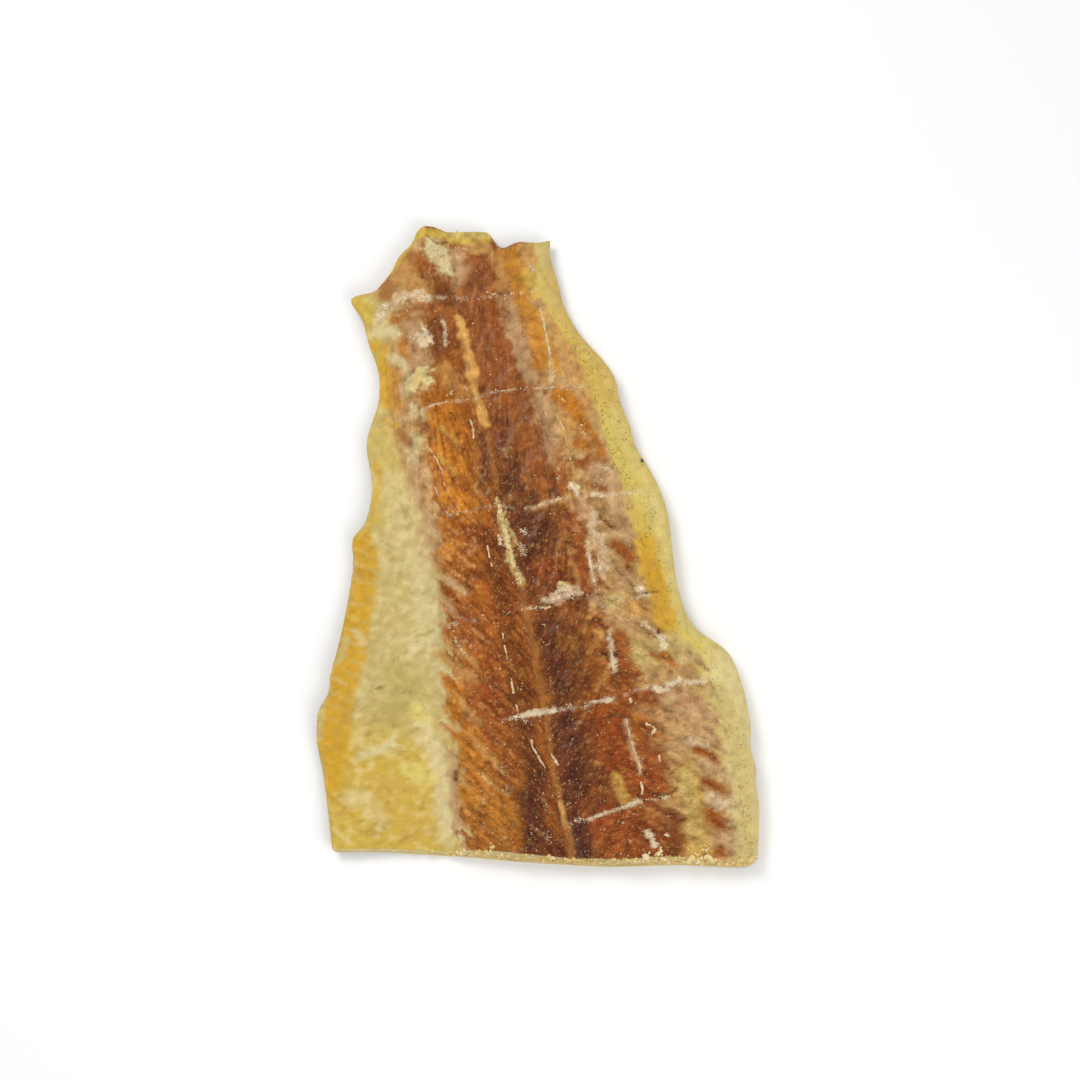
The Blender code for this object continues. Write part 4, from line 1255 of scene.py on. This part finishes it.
def makeSawCrumbs():
    rng = np.random.default_rng(17)
    x, z = survey["x"], survey["places"][:, 2]
    rough = noiseAt(survey["places"], 4, 31, 2)
    edge = survey["sawn"] + 0.8 * (survey["y"] < survey["y"].min() + 2.2) * survey["top"]
    density = edge * ease(x, -58, -34) * ease(rough, -0.3, 0.3) * (0.3 + ease(z, 2, 7))
    places, normals = scatterOn(survey, density, sawCrumbs["count"], rng)[:2]
    small, large = sawCrumbs["smallest"], sawCrumbs["largest"]
    size = small + (large - small) * rng.random(len(places)) ** 2.5
    sizes = size[:, None] * rng.uniform(0.6, 1.3, (len(places), 3))
    pebble = shapeOf(bpy.ops.mesh.primitive_ico_sphere_add, subdivisions=1, radius=1)
    piece = joinCopies("sawCrumbs", pebble, places, normals, sizes, 0.35, rng)
    storeMask(piece, "tone", np.repeat(rng.random(len(places)), len(pebble[0])))
    material = toneMaterial("sawCrumb", tint(232, 212, 150), tint(206, 170, 92), 0.65)
    finishPiece(piece, material, flat=True)


makeSawCrumbs()


# Short dark hairs in the fat of the rim

rimHairs = {"count": 620, "length": 0.5, "thickness": 0.06}


def makeRimHairs():
    rng = np.random.default_rng(29)
    across = survey["across"]
    density = ease(across, 2.98, 3.1) * (1 - ease(across, 3.5, 3.85)) * ease(survey["waver"], -0.5, 0.2)
    density *= survey["top"] * (0.35 + ease(survey["y"], -35, -15)) * (1 - ease(survey["y"], 70, 95))
    places, normals = scatterOn(survey, density, rimHairs["count"], rng)[:2]
    length = rimHairs["length"] * rng.uniform(0.4, 1.2, len(places))
    thick = rimHairs["thickness"] * rng.uniform(0.6, 1.3, len(places))
    cube = shapeOf(bpy.ops.mesh.primitive_cube_add, size=2)
    slant = np.radians(rng.normal(42, 14, len(places)))
    sizes = np.stack([length, thick, 0.5 * thick], -1)
    piece = joinCopies("rimHairs", cube, places, normals, sizes, 0.2, rng, slant)
    finishPiece(piece, plainMaterial("rimHair", tint(112, 88, 34), 0.7))


makeRimHairs()


# The one dark speck at the edge of the right rim

rimSpeck = {"x": 41.0, "y": 30.3, "size": (0.95, 0.7, 0.6)}


def makeRimSpeck():
    ball = shapeOf(bpy.ops.mesh.primitive_ico_sphere_add, subdivisions=3, radius=1)
    place = (rimSpeck["x"], rimSpeck["y"], dropOn(rimSpeck["x"], rimSpeck["y"]))
    rng = np.random.default_rng(37)
    piece = joinCopies("rimSpeck", ball, np.array([place]), np.array([(0.0, 0.0, 1.0)]),
                       np.array([rimSpeck["size"]]), 0.1, rng)
    finishPiece(piece, plainMaterial("rimSpeck", tint(84, 78, 64), 0.5))


makeRimSpeck()


# Raised white lines of dried film: width, how broken up they are, and their points.
filmStrings = [
    (0.7, 0.35, whiteLines["top"]),
    (0.7, 0.35, whiteLines["upper"]),
    (1.1, 0.0, whiteLines["middle"]),
    (0.8, 0.2, [(22.5, -4), (24, -10), (24.2, -14)]),
    (1.2, 0.0, whiteLines["lower"]),
    (0.8, 0.0, whiteLines["low"]),
    (1.0, 0.0, [(39.5, -95), (39.8, -97), (40, -100)]),
    (0.8, 0.2, [(38, -65), (36.5, -64), (35.5, -65)]),
    (0.6, 0.5, crackLines["left"]),
    (0.6, 0.4, [(-20, 2), (-19.5, -3), (-17.5, -12)]),
    (1.0, 0.0, [(-10, -57), (-9.5, -59), (-9, -61.5)]),
    (1.0, 0.1, [(-2, -79), (-1.6, -82), (0, -85), (1.5, -87), (3, -90)]),
    (1.0, 0.1, [(5.5, -84), (6.5, -86.5), (8, -89)]),
    (1.0, 0.1, [(-26.5, 47), (-25, 43), (-24.8, 39)]),
    (0.5, 0.3, [(-43, 36), (-38, 28), (-36, 20)]),
    (0.5, 0.3, [(-40, 20), (-37, 13), (-35, 9)]),
    (1.4, 0.0, [(38, -20.4), (39.5, -20.9), (41.5, -21.3)]),
    (1.0, 0.0, [(39, -24), (41, -23.6), (43.5, -22.9)]),
    (1.4, 0.0, [(40.5, -34.2), (43, -35.8), (45.3, -37.5)]),
    (0.8, 0.0, [(-20, 99.6), (-18, 98.2), (-16.5, 98.5)]),
    (1.0, 0.0, [(-3, 110), (-2.4, 108.4), (-1, 107.5)]),
    (0.9, 0.0, [(46.3, -85), (46.7, -86.5), (47, -88)]),
    (0.8, 0.0, [(2.5, -28.4), (4, -28.1), (5.5, -27.7)]),
    (0.6, 0.45, [(-43, 52), (-38, 53.5), (-30, 55)]),
    (0.4, 0.5, [(-18, 58.5), (-10, 59), (5, 60), (15, 61)]),
]


def makeFilmStrings():
    rng = np.random.default_rng(23)
    curve = bpy.data.curves.new("filmStrings", "CURVE")
    curve.dimensions, curve.bevel_depth, curve.bevel_resolution, curve.use_fill_caps = "3D", mm, 1, True
    for width, gaps, line in filmStrings:
        path = smoothLine(line, 24)
        run = []
        for x, y in path:
            wobble = noise.noise(Vector((x, y, 7)) / 2.2)
            x, y = x + 0.35 * wobble, y + 0.3 * noise.noise(Vector((x, y, 9)) / 2)
            height = dropOn(x, y)
            thick = 0.5 * width * (0.9 + 0.7 * noise.noise(Vector((x, y, 2)) / 1.4) + 0.12 * rng.normal())
            if height is None or noise.noise(Vector((x, y, 5)) / 3) + 0.5 < gaps or thick < 0.06:
                addRun(curve, run)
                run = []
            else:
                run.append((x, y, height + 0.1 * thick, thick))
        addRun(curve, run)
    piece = bpy.data.objects.new("filmStrings", curve)
    bpy.context.scene.collection.objects.link(piece)
    makeActive(piece)
    bpy.ops.object.convert(target="MESH")
    places = readVerts(piece) / mm
    rough = np.stack([noiseAt(places, 0.9, seed, 2) for seed in (61, 62, 63)], -1)
    writeVerts(piece, (places + 0.3 * rough) * mm)
    storeMask(piece, "tone", 0.5 + noiseAt(places, 3, 51, 2))
    finishPiece(piece, toneMaterial("driedFilm", tint(232, 212, 176), tint(212, 170, 116), 0.55))


def addRun(curve, run):
    if len(run) < 3:
        return
    spline = curve.splines.new("POLY")
    spline.points.add(len(run) - 1)
    for point, (x, y, z, thick) in zip(spline.points, run):
        point.co = (x * mm, y * mm, z * mm, 1)
        point.radius = thick
    spline.points[0].radius = spline.points[-1].radius = 0.05


makeFilmStrings()


# The skin under the fish

skinFinish = {"thickness": 0.35, "roughness": 0.6}


def makeSkin():
    piece = copyOfFish("fishSkin")
    editFaces(piece, faceNormals(piece)[:, 2] > -0.42, bpy.ops.mesh.delete, type="FACE")
    mergeIntoQuads(piece, [True] * len(piece.data.polygons))
    applyModifier(piece, "SUBSURF", levels=2, render_levels=2)
    places, normals = readVerts(piece) / mm, readVerts(piece, "normal")
    wrinkles = noiseAt(places * [1, 0.45, 1], 7, 41, 3)
    wrinkles -= 0.4 * np.abs(noiseAt(places * [0.6, 1, 1], 11, 42, 3))
    away = ease(places[:, 2], 0.15, 0.8)
    writeVerts(piece, (places + normals * (0.12 * wrinkles * away)[:, None]) * mm)
    applyModifier(piece, "SOLIDIFY", thickness=skinFinish["thickness"] * mm, offset=-1.0)
    # The skin's sides, where they turn up towards the flesh, are marked for painted light
    storeMask(piece, "paintedSideLight", 1 - ease(-readVerts(piece, "normal")[:, 2], 0.5, 0.9))
    finishPiece(piece, skinMaterial())


def skinMaterial():
    material, tree, shader = newMaterial("fishSkin", skinFinish["roughness"], 0.3)
    places = objectPlaces(tree)
    broad = addGroup(tree, mottle, (-1000, 400), places, Scale=45.0, Depth=1.0)
    fine = addGroup(tree, mottle, (-1000, 200), places, Scale=320.0, Depth=0.5)
    spots = addNode(tree, "ShaderNodeTexVoronoi", (-1000, -50), feature="F1",
                    in_Scale=190.0, in_Randomness=0.85)
    tree.links.new(places, spots.inputs["Vector"])
    squash = addNode(tree, "ShaderNodeMapping", (-1250, -350), vector_type="POINT")
    squash.inputs["Scale"].default_value = (1.25, 0.8, 0.2)
    tree.links.new(places, squash.inputs["Vector"])
    scales = addNode(tree, "ShaderNodeTexVoronoi", (-1000, -350), feature="DISTANCE_TO_EDGE",
                     in_Scale=520.0, in_Randomness=0.35)
    tree.links.new(squash.outputs[0], scales.inputs["Vector"])
    backToBelly = addNode(tree, "ShaderNodeMapRange", (-1000, -600), in_From_Min=-0.08, in_From_Max=0.08)
    apart = addNode(tree, "ShaderNodeSeparateXYZ", (-1200, -600))
    tree.links.new(places, apart.inputs[0])
    tree.links.new(apart.outputs["X"], backToBelly.inputs["Value"])
    ground = mixTint(tree, (-600, 300), backToBelly.outputs[0], tint(176, 162, 126), tint(122, 106, 80))
    dark = mathNode(tree, "LESS_THAN", (-700, 0), spots.outputs["Distance"], 0.36)
    shaded = mathNode(tree, "MULTIPLY", (-500, 0), dark, backToBelly.outputs[0])
    shaded = mathNode(tree, "MULTIPLY", (-350, 0), shaded, 0.45)
    spotted = mixTint(tree, (-300, 250), shaded, ground, tint(88, 76, 58))
    edges = mathNode(tree, "LESS_THAN", (-700, -350), scales.outputs["Distance"], 0.07)
    edges = mathNode(tree, "MULTIPLY", (-350, -350), edges, 0.25)
    netted = mixTint(tree, (-100, 250), edges, spotted, tint(80, 70, 52))
    tone = mathNode(tree, "MULTIPLY", (-300, 500), broad.outputs["Factor"], fine.outputs["Factor"])
    toned = scaleTint(tree, (150, 250), netted, tone)
    salt = addGroup(tree, specks, (-1000, -850), places, Scale=900.0, Share=0.12, Size=0.24)
    saltMask = mathNode(tree, "MULTIPLY", (150, -50), salt.outputs["Mask"], 0.7)
    salted = mixTint(tree, (400, 250), saltMask, toned, tint(214, 204, 178))
    # Painted light: the skin's sides are painted pale cream
    paintedSideLight = attributeNode(tree, "paintedSideLight", (400, 500))
    sideLit = mixTint(tree, (700, 300), paintedSideLight, salted, tint(224, 200, 140))
    tree.links.new(sideLit, shader.inputs["Base Color"])
    height = mathNode(tree, "MINIMUM", (-500, -450), scales.outputs["Distance"], 0.2)
    normal = bumpNode(tree, (200, -450), height, 0.0008, 0.5)
    normal = bumpNode(tree, (400, -450), fine.outputs["Height"], 0.0004, 0.5, normal)
    tree.links.new(normal, shader.inputs["Normal"])
    return material


makeSkin()


# Floor, light and camera

stage = {"floor": tint(250, 250, 250), "sky": 0.54, "key": 4.9, "fill": 4.0}


def makeFloor():
    deselectAll()
    bpy.ops.mesh.primitive_plane_add(size=6, location=(0, 0, 0))
    floor = bpy.context.active_object
    floor.name = "studioFloor"
    floor.data.materials.append(plainMaterial("studioFloor", stage["floor"], 0.9))


def addLight(name, place, aim, size, power):
    light = bpy.data.objects.new(name, bpy.data.lights.new(name, "AREA"))
    light.data.shape = "SQUARE"
    light.data.size, light.data.energy = size, power
    light.location = place
    light.rotation_euler = (Vector(aim) - Vector(place)).to_track_quat("-Z", "Y").to_euler()
    bpy.context.scene.collection.objects.link(light)


def addCamera():
    # The photograph looks down from 10 degrees off overhead, from the sawn end's side.
    camera = bpy.data.objects.new("camera", bpy.data.cameras.new("camera"))
    aim, distance, tilt = Vector((0.15, -3.1, 5.0)) * mm, 0.9, math.radians(10)
    camera.location = aim + distance * Vector((0, -math.sin(tilt), math.cos(tilt)))
    camera.rotation_euler = (tilt, 0, 0)
    camera.data.lens, camera.data.sensor_width = 76.9, 36
    camera.data.shift_x, camera.data.shift_y = 2.5 / 1080, 6.5 / 1080
    camera.data.clip_start = 0.01
    bpy.context.scene.collection.objects.link(camera)
    bpy.context.scene.camera = camera


makeFloor()
addLight("keyLight", (-0.45, 0.45, 0.85), (0, 0, 0), 0.45, stage["key"])
addLight("fillLight", (0.5, -0.6, 0.65), (0, 0, 0), 0.7, stage["fill"])
world = bpy.data.worlds.new("studio")
world.use_nodes = True
world.node_tree.nodes["Background"].inputs["Color"].default_value = (1, 1, 1, 1)
world.node_tree.nodes["Background"].inputs["Strength"].default_value = stage["sky"]
bpy.context.scene.world = world
bpy.context.scene.view_settings.view_transform = "Standard"
addCamera()
print("stage ready")
